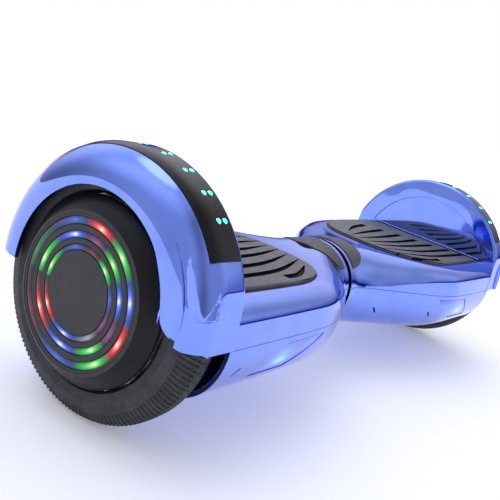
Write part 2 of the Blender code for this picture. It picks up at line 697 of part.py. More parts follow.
def make_chassis(side):
    """Cast frame: stiffened plate, pivot sleeve inboard and axle seat outboard."""
    bm = bmesh.new()
    prism(bm, [(-u, -v) for u, v in PLATE] + [(-u, v) for u, v in reversed(PLATE)], *PLATE_Z)
    frame = finish(bm, f"{side}_chassis", "cast_aluminium", side)
    bm = bmesh.new()
    cylinder(bm, (-SLEEVE_U[0], 0, PIVOT_Z), (-SLEEVE_U[1], 0, PIVOT_Z), SLEEVE_R, 20)
    sleeve = finish(bm, f"guide_{side}_sleeve", "cast_aluminium", side)
    bm = bmesh.new()
    block(bm, (-0.2358, -0.022, AXLE_Z + GAP), (-0.1870, 0.022, 0.0962))
    seat = finish(bm, f"guide_{side}_seat", "cast_aluminium", side)
    ribs = []
    for v in (-0.046, 0.046):
        bm = bmesh.new()
        block(bm, (-0.2300, v - 0.0015, 0.0800), (-0.0900, v + 0.0015, 0.0890))
        ribs.append(finish(bm, f"guide_{side}_rib_{v:+.3f}", "cast_aluminium", side))
    for extra in [sleeve, seat] + ribs:
        combine(frame, extra, "UNION")
    bore = TUBE_R + GAP if side == "left" else TUBE_R + 0.0023
    bm = bmesh.new()
    cylinder(bm, (0.01, 0, PIVOT_Z), (-0.0650, 0, PIVOT_Z), bore, 20)
    combine(frame, finish(bm, f"guide_{side}_sleeve_bore", "cast_aluminium", side), "DIFFERENCE")
    bm = bmesh.new()
    cylinder(bm, (-0.17, 0, AXLE_Z), (-0.25, 0, AXLE_Z), 0.0083, 16)
    combine(frame, finish(bm, f"guide_{side}_seat_groove", "cast_aluminium", side), "DIFFERENCE")
    bm = bmesh.new()
    cylinder(bm, (-SLEEVE_U[1] - 0.0005, 0, PIVOT_Z), (-0.0710, 0, PIVOT_Z), 0.0185, 20)
    combine(frame, finish(bm, f"guide_{side}_clip_room", "cast_aluminium", side), "DIFFERENCE")
    if side == "right":
        combine(frame, stop_slot("guide_chassis_stop_slot"), "DIFFERENCE")

    bm = bmesh.new()
    block(bm, (-0.2290, -0.022, 0.0735), (-0.1910, 0.022, AXLE_Z - GAP))
    clamp = finish(bm, f"{side}_axle_clamp", "steel", side)
    bm = bmesh.new()
    cylinder(bm, (-0.17, 0, AXLE_Z), (-0.25, 0, AXLE_Z), 0.0083, 16)
    combine(clamp, finish(bm, f"guide_{side}_clamp_groove", "steel", side), "DIFFERENCE")
    for u, v in ((0.197, -0.016), (0.197, 0.016), (0.223, -0.016), (0.223, 0.016)):
        bm = bmesh.new()
        cylinder(bm, (-u, v, 0.0705), (-u, v, 0.0740), 0.0032, 6)
        bolt = finish(bm, f"guide_{side}_bolt_{u:.3f}_{v:+.3f}", "steel", side)
        combine(clamp, bolt, "UNION")


def stop_slot(name):
    """Window in the right sleeve and bush that lets the stop pin swing."""
    bm = bmesh.new()
    block(bm, (-STOP_U - 0.0030, -0.0068, 0.0500), (-STOP_U + 0.0030, 0.0068, PIVOT_Z - TUBE_R + 0.002))
    return finish(bm, name, "cast_aluminium", "right")


def make_pivot():
    """Tube clamped in the left sleeve, turning in the right one on a bush."""
    groove_u = (0.0632, 0.0650)
    bm = bmesh.new()
    turned(bm, ((-0.0600, TUBE_R), (groove_u[0], TUBE_R), (groove_u[0], 0.0130), (groove_u[1], 0.0130),
                (groove_u[1], TUBE_R), (0.0690, TUBE_R), (0.0690, TUBE_BORE_R), (-0.0600, TUBE_BORE_R)),
           PIVOT_Z, 20)
    tube = finish(bm, "pivot_tube", "steel", "right", 35, (0, 0, PIVOT_Z))
    bm = bmesh.new()
    cylinder(bm, (-STOP_U, 0, PIVOT_Z - 0.018), (-STOP_U, 0, PIVOT_Z - 0.008), 0.0023, 12)
    combine(tube, finish(bm, "guide_pin_hole", "steel", "right"), "DIFFERENCE")
    bm = bmesh.new()
    cylinder(bm, (-STOP_U, 0, PIVOT_Z - 0.0188), (-STOP_U, 0, PIVOT_Z - 0.0098), 0.0020, 12)
    finish(bm, "pivot_stop_pin", "steel", "right")

    bm = bmesh.new()
    turned(bm, ((SLEEVE_U[0], TUBE_R + 0.0020), (SLEEVE_U[1], TUBE_R + 0.0020),
                (SLEEVE_U[1], TUBE_R + GAP), (SLEEVE_U[0], TUBE_R + GAP)), PIVOT_Z, 20)
    bush = finish(bm, "pivot_bush", "black_plastic", "right", 35, (0, 0, PIVOT_Z))
    combine(bush, stop_slot("guide_bush_stop_slot"), "DIFFERENCE")

    bm = bmesh.new()
    rings = []
    for i in range(13):
        a = math.radians(120 + 300 * i / 12)
        corners = ((0.0635, 0.0133), (0.0647, 0.0133), (0.0647, 0.0172), (0.0635, 0.0172))
        rings.append([(-u, r * math.cos(a), PIVOT_Z + r * math.sin(a)) for u, r in corners])
    skin(bm, rings)
    finish(bm, "pivot_circlip", "steel", "right")

    bm = bmesh.new()
    turned(bm, ((-0.0090, 0.0345), (0.0090, 0.0345), (0.0090, 0.0322), (0.0025, 0.0322), (0.0025, 0.0145),
                (-0.0025, 0.0145), (-0.0025, 0.0322), (-0.0090, 0.0322)), PIVOT_Z, 20)
    finish(bm, "centre_ring", "black_plastic", "left", 35, (0, 0, PIVOT_Z))


# ---------------------------------------------------------------- electrics
def board_with(name, side, low, high, extras, mat="board_green"):
    """Circuit board slab with its tall components fused on."""
    bm = bmesh.new()
    block(bm, low, high)
    board = finish(bm, name, mat, side)
    for i, add in enumerate(extras):
        bm = bmesh.new()
        add(bm)
        combine(board, finish(bm, f"guide_{name}_{i}", mat, side), "UNION")
    return board


def make_electrics():
    for side in ("left", "right"):
        extras = []
        for u, v in PLUNGERS:
            for lean in (-1, 1):
                extras.append(lambda bm, u=u, v=v, lean=lean: block(
                    bm, (-u - 0.005, v + lean * 0.0065 - 0.0015, 0.0975),
                    (-u + 0.005, v + lean * 0.0065 + 0.0015, 0.1002)))
        extras.append(lambda bm: cylinder(bm, (-0.110, -0.030, 0.0938), (-0.110, -0.030, 0.0970), 0.003, 10))
        board_with(f"{side}_foot_sensor", side, (-0.202, -0.051, 0.0968), (-0.088, 0.045, 0.0978), extras)
        board_with(f"{side}_balance_board", side, (-0.0900, -0.018, 0.0830), (-0.0725, 0.018, 0.0842),
                   [lambda bm: block(bm, (-0.085, -0.004, 0.0810), (-0.077, 0.004, 0.0832))])

    bm = bmesh.new()
    block(bm, (-0.168, -0.040, 0.0418), (-0.092, 0.040, 0.0790))
    battery = finish(bm, "battery_pack", "shrink_wrap", "left")
    bevel = battery.modifiers.new("rounded wrap", "BEVEL")
    bevel.width = 0.004
    bevel.segments = 2

    extras = [lambda bm: block(bm, (-0.160, -0.040, 0.0600), (-0.150, 0.040, 0.0770))]
    for k in range(3):
        y = -0.024 + 0.022 * k
        extras.append(lambda bm, y=y: cylinder(bm, (-0.100, y, 0.0520), (-0.100, y, 0.0770), 0.008, 16))
    board_with("control_board", "right", (-0.168, -0.045, 0.0765), (-0.090, 0.045, 0.0781), extras)


BUTTON_U, BUTTON_Z = 0.2060, 0.0715


def make_controls(left_low, right_low):
    """Power button at the back of the left half, charging socket at the back of the right."""
    bm = bmesh.new()
    cylinder(bm, (-BUTTON_U, 0.080, BUTTON_Z), (-BUTTON_U, 0.095, BUTTON_Z), 0.0060, 16)
    combine(left_low, finish(bm, "guide_button_hole", "blue_chrome", "left"), "DIFFERENCE")
    bm = bmesh.new()
    cylinder(bm, (-BUTTON_U, 0.0795, BUTTON_Z), (-BUTTON_U, 0.0900, BUTTON_Z), 0.0055, 16)
    finish(bm, "power_button", "steel", "left", 35, (-BUTTON_U, 0.0900, BUTTON_Z))
    bm = bmesh.new()
    block(bm, (-BUTTON_U - 0.0075, 0.0660, BUTTON_Z - 0.0075), (-BUTTON_U + 0.0075, 0.0780, BUTTON_Z + 0.0075))
    finish(bm, "power_switch", "black_plastic", "left")

    bm = bmesh.new()
    cylinder(bm, (-BUTTON_U, -0.070, BUTTON_Z), (-BUTTON_U, -0.095, BUTTON_Z), 0.0080, 16)
    combine(right_low, finish(bm, "guide_port_hole", "blue_chrome", "right"), "DIFFERENCE")
    bm = bmesh.new()
    cylinder(bm, (-BUTTON_U, -0.0760, BUTTON_Z), (-BUTTON_U, -0.0896, BUTTON_Z), 0.0075, 16)
    port = finish(bm, "charge_port", "black_plastic", "right")
    bm = bmesh.new()
    cylinder(bm, (-BUTTON_U, -0.0862, BUTTON_Z), (-BUTTON_U, -0.0950, BUTTON_Z), 0.0055, 16)
    combine(port, finish(bm, "guide_port_recess", "black_plastic", "right"), "DIFFERENCE")
    for k in range(3):
        a = math.radians(90 + 120 * k)
        y0, dz = -0.0855, 0.0028
        centre = (-BUTTON_U + dz * math.cos(a), BUTTON_Z + dz * math.sin(a))
        bm = bmesh.new()
        cylinder(bm, (centre[0], y0, centre[1]), (centre[0], -0.0888, centre[1]), 0.0008, 5)
        combine(port, finish(bm, f"guide_port_pin_{k}", "black_plastic", "right"), "UNION")
    bm = bmesh.new()
    cylinder(bm, (-BUTTON_U, -0.0906, BUTTON_Z), (-BUTTON_U, -0.0920, BUTTON_Z), 0.0086, 16)
    hinge = (-BUTTON_U, -0.0913, BUTTON_Z + 0.0100)
    cap = finish(bm, "charge_port_cap", "black_plastic", "right", 35, hinge)
    bm = bmesh.new()
    block(bm, (-BUTTON_U - 0.003, -0.0918, BUTTON_Z + 0.0070), (-BUTTON_U + 0.003, -0.0908, BUTTON_Z + 0.0112))
    combine(cap, finish(bm, "guide_cap_tab", "black_plastic", "right"), "UNION")


def main():
    clear_scene()
    low_shells = {}
    for side in ("left", "right"):
        make_top_shell(side)
        low_shells[side] = make_bottom_shell(side)
        front, rear = (-1, 1) if side == "left" else (1, -1)
        make_lens(side, front, f"{side}_head_lamp")
        make_lens(side, rear, f"{side}_tail_lamp")
        make_foot_pad(side)
        make_neck_cover(side)
        make_fender_lights(side)
        make_wheel(side)
        make_chassis(side)
    make_pivot()
    make_electrics()
    make_controls(low_shells["left"], low_shells["right"])


main()
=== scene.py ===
# %% [markdown]
# A self balancing board stands on a pale studio floor.  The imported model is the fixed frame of
# this scene: it gives the place of every piece and the axis of every joint.  The chromed shells,
# the pads, the tyres and the lit wheel covers are made again here with a finer surface, and every
# other piece keeps its solid and gets a finish that fits how it was made.

# %% Load the frame
import math

import bmesh
import bpy
import numpy as np
from mathutils import Matrix, Vector


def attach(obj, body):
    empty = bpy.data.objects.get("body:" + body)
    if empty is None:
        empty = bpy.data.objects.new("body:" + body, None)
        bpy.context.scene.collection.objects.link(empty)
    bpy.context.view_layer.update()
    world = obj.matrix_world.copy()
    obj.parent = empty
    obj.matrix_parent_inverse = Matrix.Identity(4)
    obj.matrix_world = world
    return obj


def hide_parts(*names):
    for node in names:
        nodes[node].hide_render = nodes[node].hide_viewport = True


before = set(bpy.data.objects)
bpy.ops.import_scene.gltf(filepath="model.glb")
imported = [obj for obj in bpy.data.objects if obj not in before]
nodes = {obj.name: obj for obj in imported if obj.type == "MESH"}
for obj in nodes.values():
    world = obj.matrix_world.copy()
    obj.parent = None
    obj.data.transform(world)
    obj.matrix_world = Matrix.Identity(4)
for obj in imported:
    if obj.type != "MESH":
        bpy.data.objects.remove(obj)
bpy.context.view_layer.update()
SIDES = ("left", "right")

# %% [markdown]
# Small helpers come first.  They turn a hex colour as people write it into the linear numbers that
# a shader wants, add nodes with their settings and links, and start a material with its shader's
# constant values in place.

# %% Colour and node helpers


def linear(code, alpha=1.0):
    """Linear RGBA of an sRGB hex colour."""
    parts = [int(code[i:i + 2], 16) / 255 for i in (1, 3, 5)]
    return (*[c / 12.92 if c <= 0.04045 else ((c + 0.055) / 1.055) ** 2.4 for c in parts], alpha)


def add(tree, kind, links=None, **settings):
    """Add one node: settings are attributes or input values, links are inputs fed by a socket."""
    made = tree.nodes.new(kind)
    for name, value in settings.items():
        if hasattr(made, name):
            setattr(made, name, value)
        else:
            made.inputs[name.replace("_", " ")].default_value = value
    for name, source in (links or {}).items():
        tree.links.new(source, made.inputs[name])
    return made


def ramp(tree, fac, stops, interpolation="LINEAR"):
    """Colour ramp from (place, hex colour) or (place, hex colour, alpha) stops."""
    made = add(tree, "ShaderNodeValToRGB", {"Fac": fac})
    made.color_ramp.interpolation = interpolation
    elements = made.color_ramp.elements
    while len(elements) < len(stops):
        elements.new(0.5)
    for spot, (place, *paint) in zip(elements, stops):
        spot.position = place
        spot.color = linear(*paint)
    return made


def start_finish(name, **values):
    """A Principled material whose constant values sit on the shader's own sockets."""
    mat = bpy.data.materials.new(name)
    mat.use_nodes = True
    shader = mat.node_tree.nodes["Principled BSDF"]
    for key, value in values.items():
        shader.inputs[key.replace("_", " ")].default_value = value
    return mat, mat.node_tree, shader


def feed(shader, **sources):
    """Link sockets into the shader's inputs."""
    for name, source in sources.items():
        shader.id_data.links.new(source, shader.inputs[name.replace("_", " ")])


def mottle(tree, coords, size_mm, detail=3.0, rough=0.5):
    """Noise whose lumps are about size_mm across on the object."""
    return add(tree, "ShaderNodeTexNoise", {"Vector": coords}, Scale=1000.0 / size_mm, Detail=detail,
               Roughness=rough).outputs["Fac"]


def swing(tree, fac, low, high):
    """Stretch a 0.3 to 0.7 noise onto a range of values."""
    return add(tree, "ShaderNodeMapRange", {"Value": fac}, From_Min=0.3, From_Max=0.7,
               To_Min=low, To_Max=high).outputs["Result"]


def relief(tree, height, depth_mm, strength=1.0, under=None):
    """Bump of a real depth, on top of an earlier normal if there is one."""
    links = {"Height": height}
    if under is not None:
        links["Normal"] = under
    return add(tree, "ShaderNodeBump", links, Distance=depth_mm / 1000, Strength=strength).outputs["Normal"]


print("helpers ready")

# %% [markdown]
# The camera stands low and close at the left wheel, looking along the board, tipped to one side
# so that the board runs down the picture.  Its place and turn were worked out once from the round
# outlines of the wheel, so they are written here as plain numbers.

# %% Camera
EYE = Vector((-0.5912, -0.3047, 0.2403))
HEADING, PITCH, TILT = (math.radians(a) for a in (32.60, -13.00, 16.78))
ahead = Vector((math.cos(PITCH) * math.cos(HEADING), math.cos(PITCH) * math.sin(HEADING), math.sin(PITCH)))
level = ahead.cross(Vector((0, 0, 1))).normalized()
upright = level.cross(ahead)
right_hand = math.cos(TILT) * level + math.sin(TILT) * upright
top_side = -math.sin(TILT) * level + math.cos(TILT) * upright
lens = bpy.data.cameras.new("studio camera")
lens.sensor_width = 36
lens.lens = 53.2
lens.shift_x = -0.0028
lens.shift_y = -0.0056
lens.clip_start = 0.01
camera = bpy.data.objects.new("studio camera", lens)
bpy.context.scene.collection.objects.link(camera)
camera.matrix_world = Matrix.Translation(EYE) @ Matrix((right_hand, top_side, -ahead)).transposed().to_4x4()
bpy.context.scene.camera = camera
print("camera at", tuple(round(c, 3) for c in EYE))

# %% [markdown]
# Chrome shows its surroundings and little else, so the room matters more than any lamp.  The camera
# sees an even pale backdrop.  The shells see a studio: pale walls, a thin dim band at the horizon,
# and large soft lights whose edges fade out, so that every highlight is long and gentle.

# %% Room and floor
bpy.context.scene.view_settings.view_transform = "Standard"
world = bpy.data.worlds.new("studio")
bpy.context.scene.world = world
world.use_nodes = True
sky = world.node_tree
backdrop = sky.nodes["Background"]
backdrop.inputs["Color"].default_value = linear("#FFFFFF")
backdrop.inputs["Strength"].default_value = 1.0
direction = add(sky, "ShaderNodeTexCoord").outputs["Generated"]
height = add(sky, "ShaderNodeSeparateXYZ", {"Vector": direction})
level_up = add(sky, "ShaderNodeMapRange", {"Value": height.outputs["Z"]}, From_Min=-1.0, From_Max=1.0)
walls = ramp(sky, level_up.outputs["Result"], (
    (0.0, "#F2F0FA"), (0.47, "#DADDF0"), (0.505, "#A0A6DC"), (0.522, "#161A60"), (0.540, "#2E3590"),
    (0.575, "#A4AAE0"), (0.66, "#E8E6FA"), (1.0, "#FFFFFF")), "EASE")
# the dim band stands at one end of the room only, so it draws one streak and no more
far_end = add(sky, "ShaderNodeMapRange", {"Value": height.outputs["X"]}, interpolation_type="SMOOTHERSTEP",
              From_Min=0.2, From_Max=0.6)
room_paint = add(sky, "ShaderNodeMix", {0: far_end.outputs["Result"], 7: walls.outputs["Color"]}, data_type="RGBA")
room_paint.inputs[6].default_value = linear("#DADCF2")
# where each soft light is seen, the cosines where it is full and where it has faded, and its gain
SOFT_LIGHTS = (
    ((0.00, 0.50, 0.85), 0.94, 0.45, 0.85),
    ((-1.00, 0.10, 0.40), 0.93, 0.45, 0.50),
    ((0.30, -1.00, 0.40), 0.95, 0.55, 0.42),
    ((0.80, 0.90, 0.50), 0.95, 0.50, 0.45),
    ((1.00, 0.00, 0.35), 0.95, 0.55, 0.30),
    ((-0.08, 0.32, 0.94), 0.992, 0.93, 1.70),
)
total = add(sky, "ShaderNodeValue").outputs[0]
total.default_value = 0.38
for towards, full, gone, gain in SOFT_LIGHTS:
    facing = add(sky, "ShaderNodeVectorMath", {0: direction}, operation="DOT_PRODUCT")
    facing.inputs[1].default_value = Vector(towards).normalized()
    fade = add(sky, "ShaderNodeMapRange", {"Value": facing.outputs["Value"]}, interpolation_type="SMOOTHERSTEP",
               From_Min=gone, From_Max=full, To_Max=gain)
    total = add(sky, "ShaderNodeMath", {0: total, 1: fade.outputs["Result"]}, operation="ADD").outputs["Value"]
room = add(sky, "ShaderNodeBackground", {"Color": room_paint.outputs[2], "Strength": total})
seen = add(sky, "ShaderNodeLightPath")
both = add(sky, "ShaderNodeMixShader", {0: seen.outputs["Is Camera Ray"], 1: room.outputs["Background"],
                                        2: backdrop.outputs["Background"]})
sky.links.new(both.outputs["Shader"], sky.nodes["World Output"].inputs["Surface"])

bpy.ops.object.select_all(action="DESELECT")
bpy.ops.mesh.primitive_plane_add(size=60, location=(0, 0, -0.0002))
floor = bpy.context.object
floor.name = "floor"
paper, tree, shader = start_finish("matte white paper sweep", Roughness=0.95, Specular_IOR_Level=0.1,
                                   Emission_Color=linear("#FFFFFF"), Emission_Strength=0.22)
spot = add(tree, "ShaderNodeTexCoord").outputs["Object"]
shade = ramp(tree, mottle(tree, spot, 3.0), ((0.3, "#FBFBFC"), (0.7, "#FFFFFF")))
feed(shader, Base_Color=shade.outputs["Color"])
floor.data.materials.append(paper)
print("room lit")

# %% [markdown]
# The shells are injection moulded plastic with a vacuum plated metal film under a tinted clear
# lacquer.  To the eye that is a mirror with a blue body, white only where a lamp is seen, and a
# faint orange peel in the lacquer that makes every reflection wander a little.

# %% Blue chrome
chrome, tree, shader = start_finish("vacuum metallised blue chrome", Metallic=1.0, Coat_Weight=0.25,
                                    Coat_Roughness=0.02)
spot = add(tree, "ShaderNodeTexCoord").outputs["Object"]
tint = ramp(tree, mottle(tree, spot, 30.0), ((0.3, "#7893EA"), (0.7, "#849EEE")))
feed(shader, Base_Color=tint.outputs["Color"])
feed(shader, Roughness=swing(tree, mottle(tree, spot, 1.2, 6.0), 0.035, 0.075))
soft_edge = add(tree, "ShaderNodeBevel", Radius=0.0006, samples=6).outputs["Normal"]
wander = relief(tree, mottle(tree, spot, 22.0, 1.0), 0.10, 0.22, soft_edge)
peel = relief(tree, mottle(tree, spot, 3.2, 1.0), 0.006, 0.30, wander)
feed(shader, Normal=peel)
print("chrome ready")

# %% [markdown]
# Moulded plastics and rubbers come next.  Spark eroded steel moulds leave an even fine grain that
# softens the shine, handling polishes the high spots, and dust settles in pale specks, so colour,
# roughness and relief each follow their own noise at a true size in millimetres.

# %% Plastics and rubbers


def moulded(name, dark, pale, rough, grain_mm, grain_depth, patch_mm=18.0, edge_mm=0.3, **values):
    """Moulded finish: two near colours, a range of roughness, and a grain of real size and depth."""
    mat, tree, shader = start_finish(name, **values)
    spot = add(tree, "ShaderNodeTexCoord").outputs["Object"]
    paint = ramp(tree, mottle(tree, spot, patch_mm, 5.0), ((0.3, dark), (0.7, pale)))
    feed(shader, Base_Color=paint.outputs["Color"])
    feed(shader, Roughness=swing(tree, mottle(tree, spot, patch_mm / 5, 4.0), *rough))
    edge = add(tree, "ShaderNodeBevel", Radius=edge_mm / 1000, samples=4).outputs["Normal"]
    feed(shader, Normal=relief(tree, mottle(tree, spot, grain_mm, 2.0), grain_depth, 0.6, edge))
    return mat


pad_rubber = moulded("moulded grey foot rubber", "#5B5957", "#72706C", (0.45, 0.62), 0.5, 0.03, 14.0)
tyre_rubber = moulded("solid vulcanised tyre rubber", "#262627", "#3A3A3B", (0.52, 0.78), 0.8, 0.04, 9.0)
cover_plastic = moulded("spark grained grey wheel cover", "#292827", "#32302F", (0.48, 0.60), 0.35, 0.012, 24.0)
neck_plastic = moulded("spark grained neck cover", "#3F3E3C", "#4C4A47", (0.40, 0.55), 0.45, 0.015, 20.0)
black_plastic = moulded("moulded black nylon", "#121213", "#1D1D1F", (0.35, 0.5), 0.4, 0.010, 12.0)
gloss_black = moulded("polished black acrylic", "#030303", "#070708", (0.05, 0.10), 2.5, 0.002, 25.0,
                      Specular_IOR_Level=0.30)
satin_black = moulded("satin black moulded bevel", "#0B0B0A", "#11110F", (0.34, 0.46), 0.35, 0.010, 24.0,
                      Specular_IOR_Level=0.25)
# near black rubber laid in the pad grooves: painted shade in the recesses
painted_groove_shade = moulded("pad rubber darkened as painted groove shade", "#0A0A0A", "#121211", (0.65, 0.80), 0.5, 0.02, 14.0,
                       Specular_IOR_Level=0.2)
print("plastics and rubbers ready")

# %% [markdown]
# The metals stay plain: cast aluminium is dull with a sand texture, turned steel is brighter with
# fine lines round its axis, and the copper windings are lacquered.  The circuit boards are glass
# fibre under green lacquer, and the battery is in shrunk blue film.

# %% Metals, boards and film


def metal(name, dark, pale, rough, grain_mm, depth, stretch=(1.0, 1.0, 1.0)):
    """Bare metal finish: grain stretched along the way the metal was worked."""
    mat, tree, shader = start_finish(name, Metallic=1.0)
    spot = add(tree, "ShaderNodeTexCoord").outputs["Object"]
    drawn = add(tree, "ShaderNodeMapping", {"Vector": spot}, Scale=stretch).outputs["Vector"]
    paint = ramp(tree, mottle(tree, drawn, grain_mm * 6, 4.0), ((0.3, dark), (0.7, pale)))
    feed(shader, Base_Color=paint.outputs["Color"])
    feed(shader, Roughness=swing(tree, mottle(tree, drawn, grain_mm * 3, 4.0), *rough))
    feed(shader, Normal=relief(tree, mottle(tree, drawn, grain_mm, 2.0), depth, 0.6))
    return mat


cast_aluminium = metal("sand cast aluminium", "#A3A6AA", "#BDC0C4", (0.38, 0.55), 0.8, 0.03)
steel = metal("turned bright steel", "#84878C", "#9EA1A6", (0.22, 0.36), 0.3, 0.006, (6.0, 1.0, 1.0))
copper = metal("lacquered copper winding", "#9C5630", "#C0764A", (0.30, 0.42), 0.6, 0.05, (0.3, 2.0, 2.0))
board_green = moulded("green lacquered circuit board", "#174A2B", "#23663D", (0.28, 0.42), 1.2, 0.02, 4.0)
shrink_film = moulded("shrunk blue battery film", "#244F9C", "#3467BC", (0.22, 0.40), 4.0, 0.10, 20.0)
print("metals ready")

# %% [markdown]
# The body is drawn in a half frame: u runs outboard from the middle of the board, v across it and
# z up.  The left half puts u on -X.  The right half comes from the same moulds turned half round
# about the vertical, so every piece is made once on the left and turned for the right.

# %% Turning and joining tools
TURN = Matrix.Rotation(math.pi, 4, "Z")
AXLE_Z = 0.085
PIVOT_Z = 0.075


def solid_from(bm, name, mat, sharp=30.0):
    """Object at the origin from a finished bmesh, smooth except at its sharp edges."""
    bmesh.ops.recalc_face_normals(bm, faces=bm.faces)
    mesh = bpy.data.meshes.new(name)
    bm.to_mesh(mesh)
    bm.free()
    made = bpy.data.objects.new(name, mesh)
    bpy.context.scene.collection.objects.link(made)
    mesh.materials.append(mat)
    mesh.shade_smooth()
    mesh.set_sharp_from_angle(angle=math.radians(sharp))
    return made


def bridge(bm, rings, closed=True, caps=True):
    """Skin rings of points with quads and cap the ends."""
    loops = [[bm.verts.new(p) for p in ring] for ring in rings]
    count = len(loops[0])
    for a, b in zip(loops, loops[1:]):
        for i in range(count if closed else count - 1):
            j = (i + 1) % count
            bm.faces.new((a[i], a[j], b[j], b[i]))
    if caps:
        bm.faces.new(loops[0])
        bm.faces.new(loops[-1])


def prism(bm, outline, low, high):
    """Upright solid between two heights."""
    bridge(bm, [[(x, y, z) for x, y in outline] for z in (low, high)])


def oblong(x, y, half_x, half_y):
    """Corners of an upright rectangle round a centre."""
    return [(x + a * half_x, y + b * half_y) for a, b in ((-1, -1), (1, -1), (1, 1), (-1, 1))]


def rod(bm, start, end, radius, sides=48, radius_end=None):
    """Round solid between two points along any direction."""
    start, end = Vector(start), Vector(end)
    turn = Vector((0, 0, 1)).rotation_difference(end - start).to_matrix()
    rings = []
    for centre, r in ((start, radius), (end, radius if radius_end is None else radius_end)):
        angles = [2 * math.pi * i / sides for i in range(sides)]
        rings.append([centre + turn @ Vector((r * math.cos(a), r * math.sin(a), 0)) for a in angles])
    bridge(bm, rings)


def pick(target):
    """Make one object the only one selected, and active."""
    bpy.ops.object.select_all(action="DESELECT")
    bpy.context.view_layer.objects.active = target
    target.select_set(True)


def cut(target, tool, operation="DIFFERENCE"):
    """Boolean one object into another, apply it and drop the tool."""
    pick(target)
    step = target.modifiers.new("joint", "BOOLEAN")
    step.operation = operation
    step.solver = "EXACT"
    step.object = tool
    bpy.ops.object.modifier_apply(modifier=step.name)
    bpy.data.objects.remove(tool, do_unlink=True)
    return target


def settle(target, sharp=30.0):
    """Even shading after the cuts: smooth faces, sharp edges, nothing loose."""
    bm = bmesh.new()
    bm.from_mesh(target.data)
    bmesh.ops.remove_doubles(bm, verts=bm.verts, dist=0.000002)
    bmesh.ops.dissolve_degenerate(bm, edges=bm.edges, dist=0.000001)
    bm.to_mesh(target.data)
    bm.free()
    target.data.shade_smooth()
    target.data.set_sharp_from_angle(angle=math.radians(sharp))
    return target


def twin(made):
    """Second object with a mesh of its own."""
    other = made.copy()
    other.data = made.data.copy()
    bpy.context.scene.collection.objects.link(other)
    return other


def both_sides(made, part, bodies, stands_for=None):
    """Hand the left piece to its body, and a copy with its own mesh, turned, to the right."""
    other = twin(made)
    other.data.transform(TURN)
    for side, piece in (("left", made), ("right", other)):
        piece.name = f"{side}_{part}"
        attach(piece, bodies.format(side))
        if stands_for:
            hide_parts(*[f"{side}_{node}" for node in stands_for])
    print(part, len(made.data.polygons), "faces each")


# %% [markdown]
# The body's cross section changes along u: almost round at the middle, where the halves meet at
# the pivot, and a broad box with rolled shoulders under the foot.  A short table of sections is
# joined by a smooth cubic, so the waist flows into the deck without a crease.

# %% Body form
# u, front half-width, rear half-width, deck height, front roll, rear roll, roll height
BODY = (
    (0.003, 0.0395, 0.0395, 0.1135, 0.0395, 0.0395, 0.0385),
    (0.014, 0.0400, 0.0400, 0.1132, 0.0390, 0.0390, 0.0370),
    (0.030, 0.0460, 0.0440, 0.1118, 0.0400, 0.0400, 0.0330),
    (0.050, 0.0600, 0.0525, 0.1100, 0.0370, 0.0430, 0.0270),
    (0.075, 0.0735, 0.0625, 0.1088, 0.0290, 0.0370, 0.0205),
    (0.110, 0.0848, 0.0770, 0.1082, 0.0220, 0.0230, 0.0150),
    (0.150, 0.0882, 0.0872, 0.1080, 0.0190, 0.0190, 0.0130),
    (0.243, 0.0899, 0.0899, 0.1080, 0.0180, 0.0180, 0.0130),
)
SEAM_Z = 0.0820
BELLY_Z = 0.0355
WALL = 0.0026
RIM_U = 0.2415
LOW_END_U = 0.2438
DRAFT = 0.07


def smoothstep(low, high, value):
    """Soft step from 0 at low to 1 at high."""
    t = min(1.0, max(0.0, (value - low) / (high - low)))
    return t * t * (3 - 2 * t)


def body_at(u):
    """Section sizes at one distance from the middle."""
    spots = [row[0] for row in BODY]
    u = min(max(u, spots[0]), spots[-1])
    k = max(i for i, s in enumerate(spots[:-1]) if s <= u)
    before, here, there, after = (BODY[min(max(j, 0), len(BODY) - 1)] for j in (k - 1, k, k + 1, k + 2))
    span = there[0] - here[0]
    t = (u - here[0]) / span
    sizes = []
    for c in range(1, 7):
        lead = (there[c] - before[c]) / (there[0] - before[0])
        trail = (after[c] - here[c]) / (after[0] - here[0])
        sizes.append((2 * t ** 3 - 3 * t ** 2 + 1) * here[c] + (t ** 3 - 2 * t ** 2 + t) * span * lead
                     + (3 * t ** 2 - 2 * t ** 3) * there[c] + (t ** 3 - t ** 2) * span * trail)
    return sizes


def body_section(u, inset=0.0, deck_inset=None, roll_steps=14, belly_steps=16):
    """Closed ring of points round the body."""
    front, rear, deck, roll_f, roll_r, roll_h = body_at(u)
    deck_inset = inset if deck_inset is None else deck_inset
    wide_z = PIVOT_Z + 0.005 * smoothstep(0.02, 0.11, u)
    draft = DRAFT * max(0.0, deck - roll_h - wide_z)
    front, rear, deck, belly = front - inset, rear - inset, deck - deck_inset, BELLY_Z + inset
    roll_z = max(deck - roll_h, wide_z + 0.0015)
    ring = []

    def quarter(facing, half, low_z, high_z, roll, tilt, steps, upward):
        for i in range(steps + 1):
            a = math.radians(90 * i / steps)
            a = a if upward else math.pi / 2 - a
            y = half - tilt - roll * (1 - math.cos(a))
            ring.append((-u, facing * y, low_z + (high_z - low_z) * math.sin(a)))

    quarter(-1, front, roll_z, deck, min(roll_f, front - 0.001), draft, roll_steps, True)
    quarter(1, rear, roll_z, deck, min(roll_r, rear - 0.001), draft, roll_steps, False)
    quarter(1, rear, wide_z, belly, min(rear - 0.001, 0.0385), 0.0, belly_steps, True)
    quarter(-1, front, wide_z, belly, min(front - 0.001, 0.0385), 0.0, belly_steps, False)
    return ring


def body_solid(low_u, high_u, count, inset=0.0, deck_inset=None):
    """Lofted body between two distances from the middle."""
    bm = bmesh.new()
    stations = [low_u + (high_u - low_u) * i / (count - 1) for i in range(count)]
    rings = []
    for u in stations:
        under = deck_inset(u) if deck_inset else None
        rings.append([(-u, y, z) for _, y, z in body_section(max(u, 0.003), inset, under)])
    bridge(bm, rings)
    return solid_from(bm, "body form", chrome)


print("body form ready")

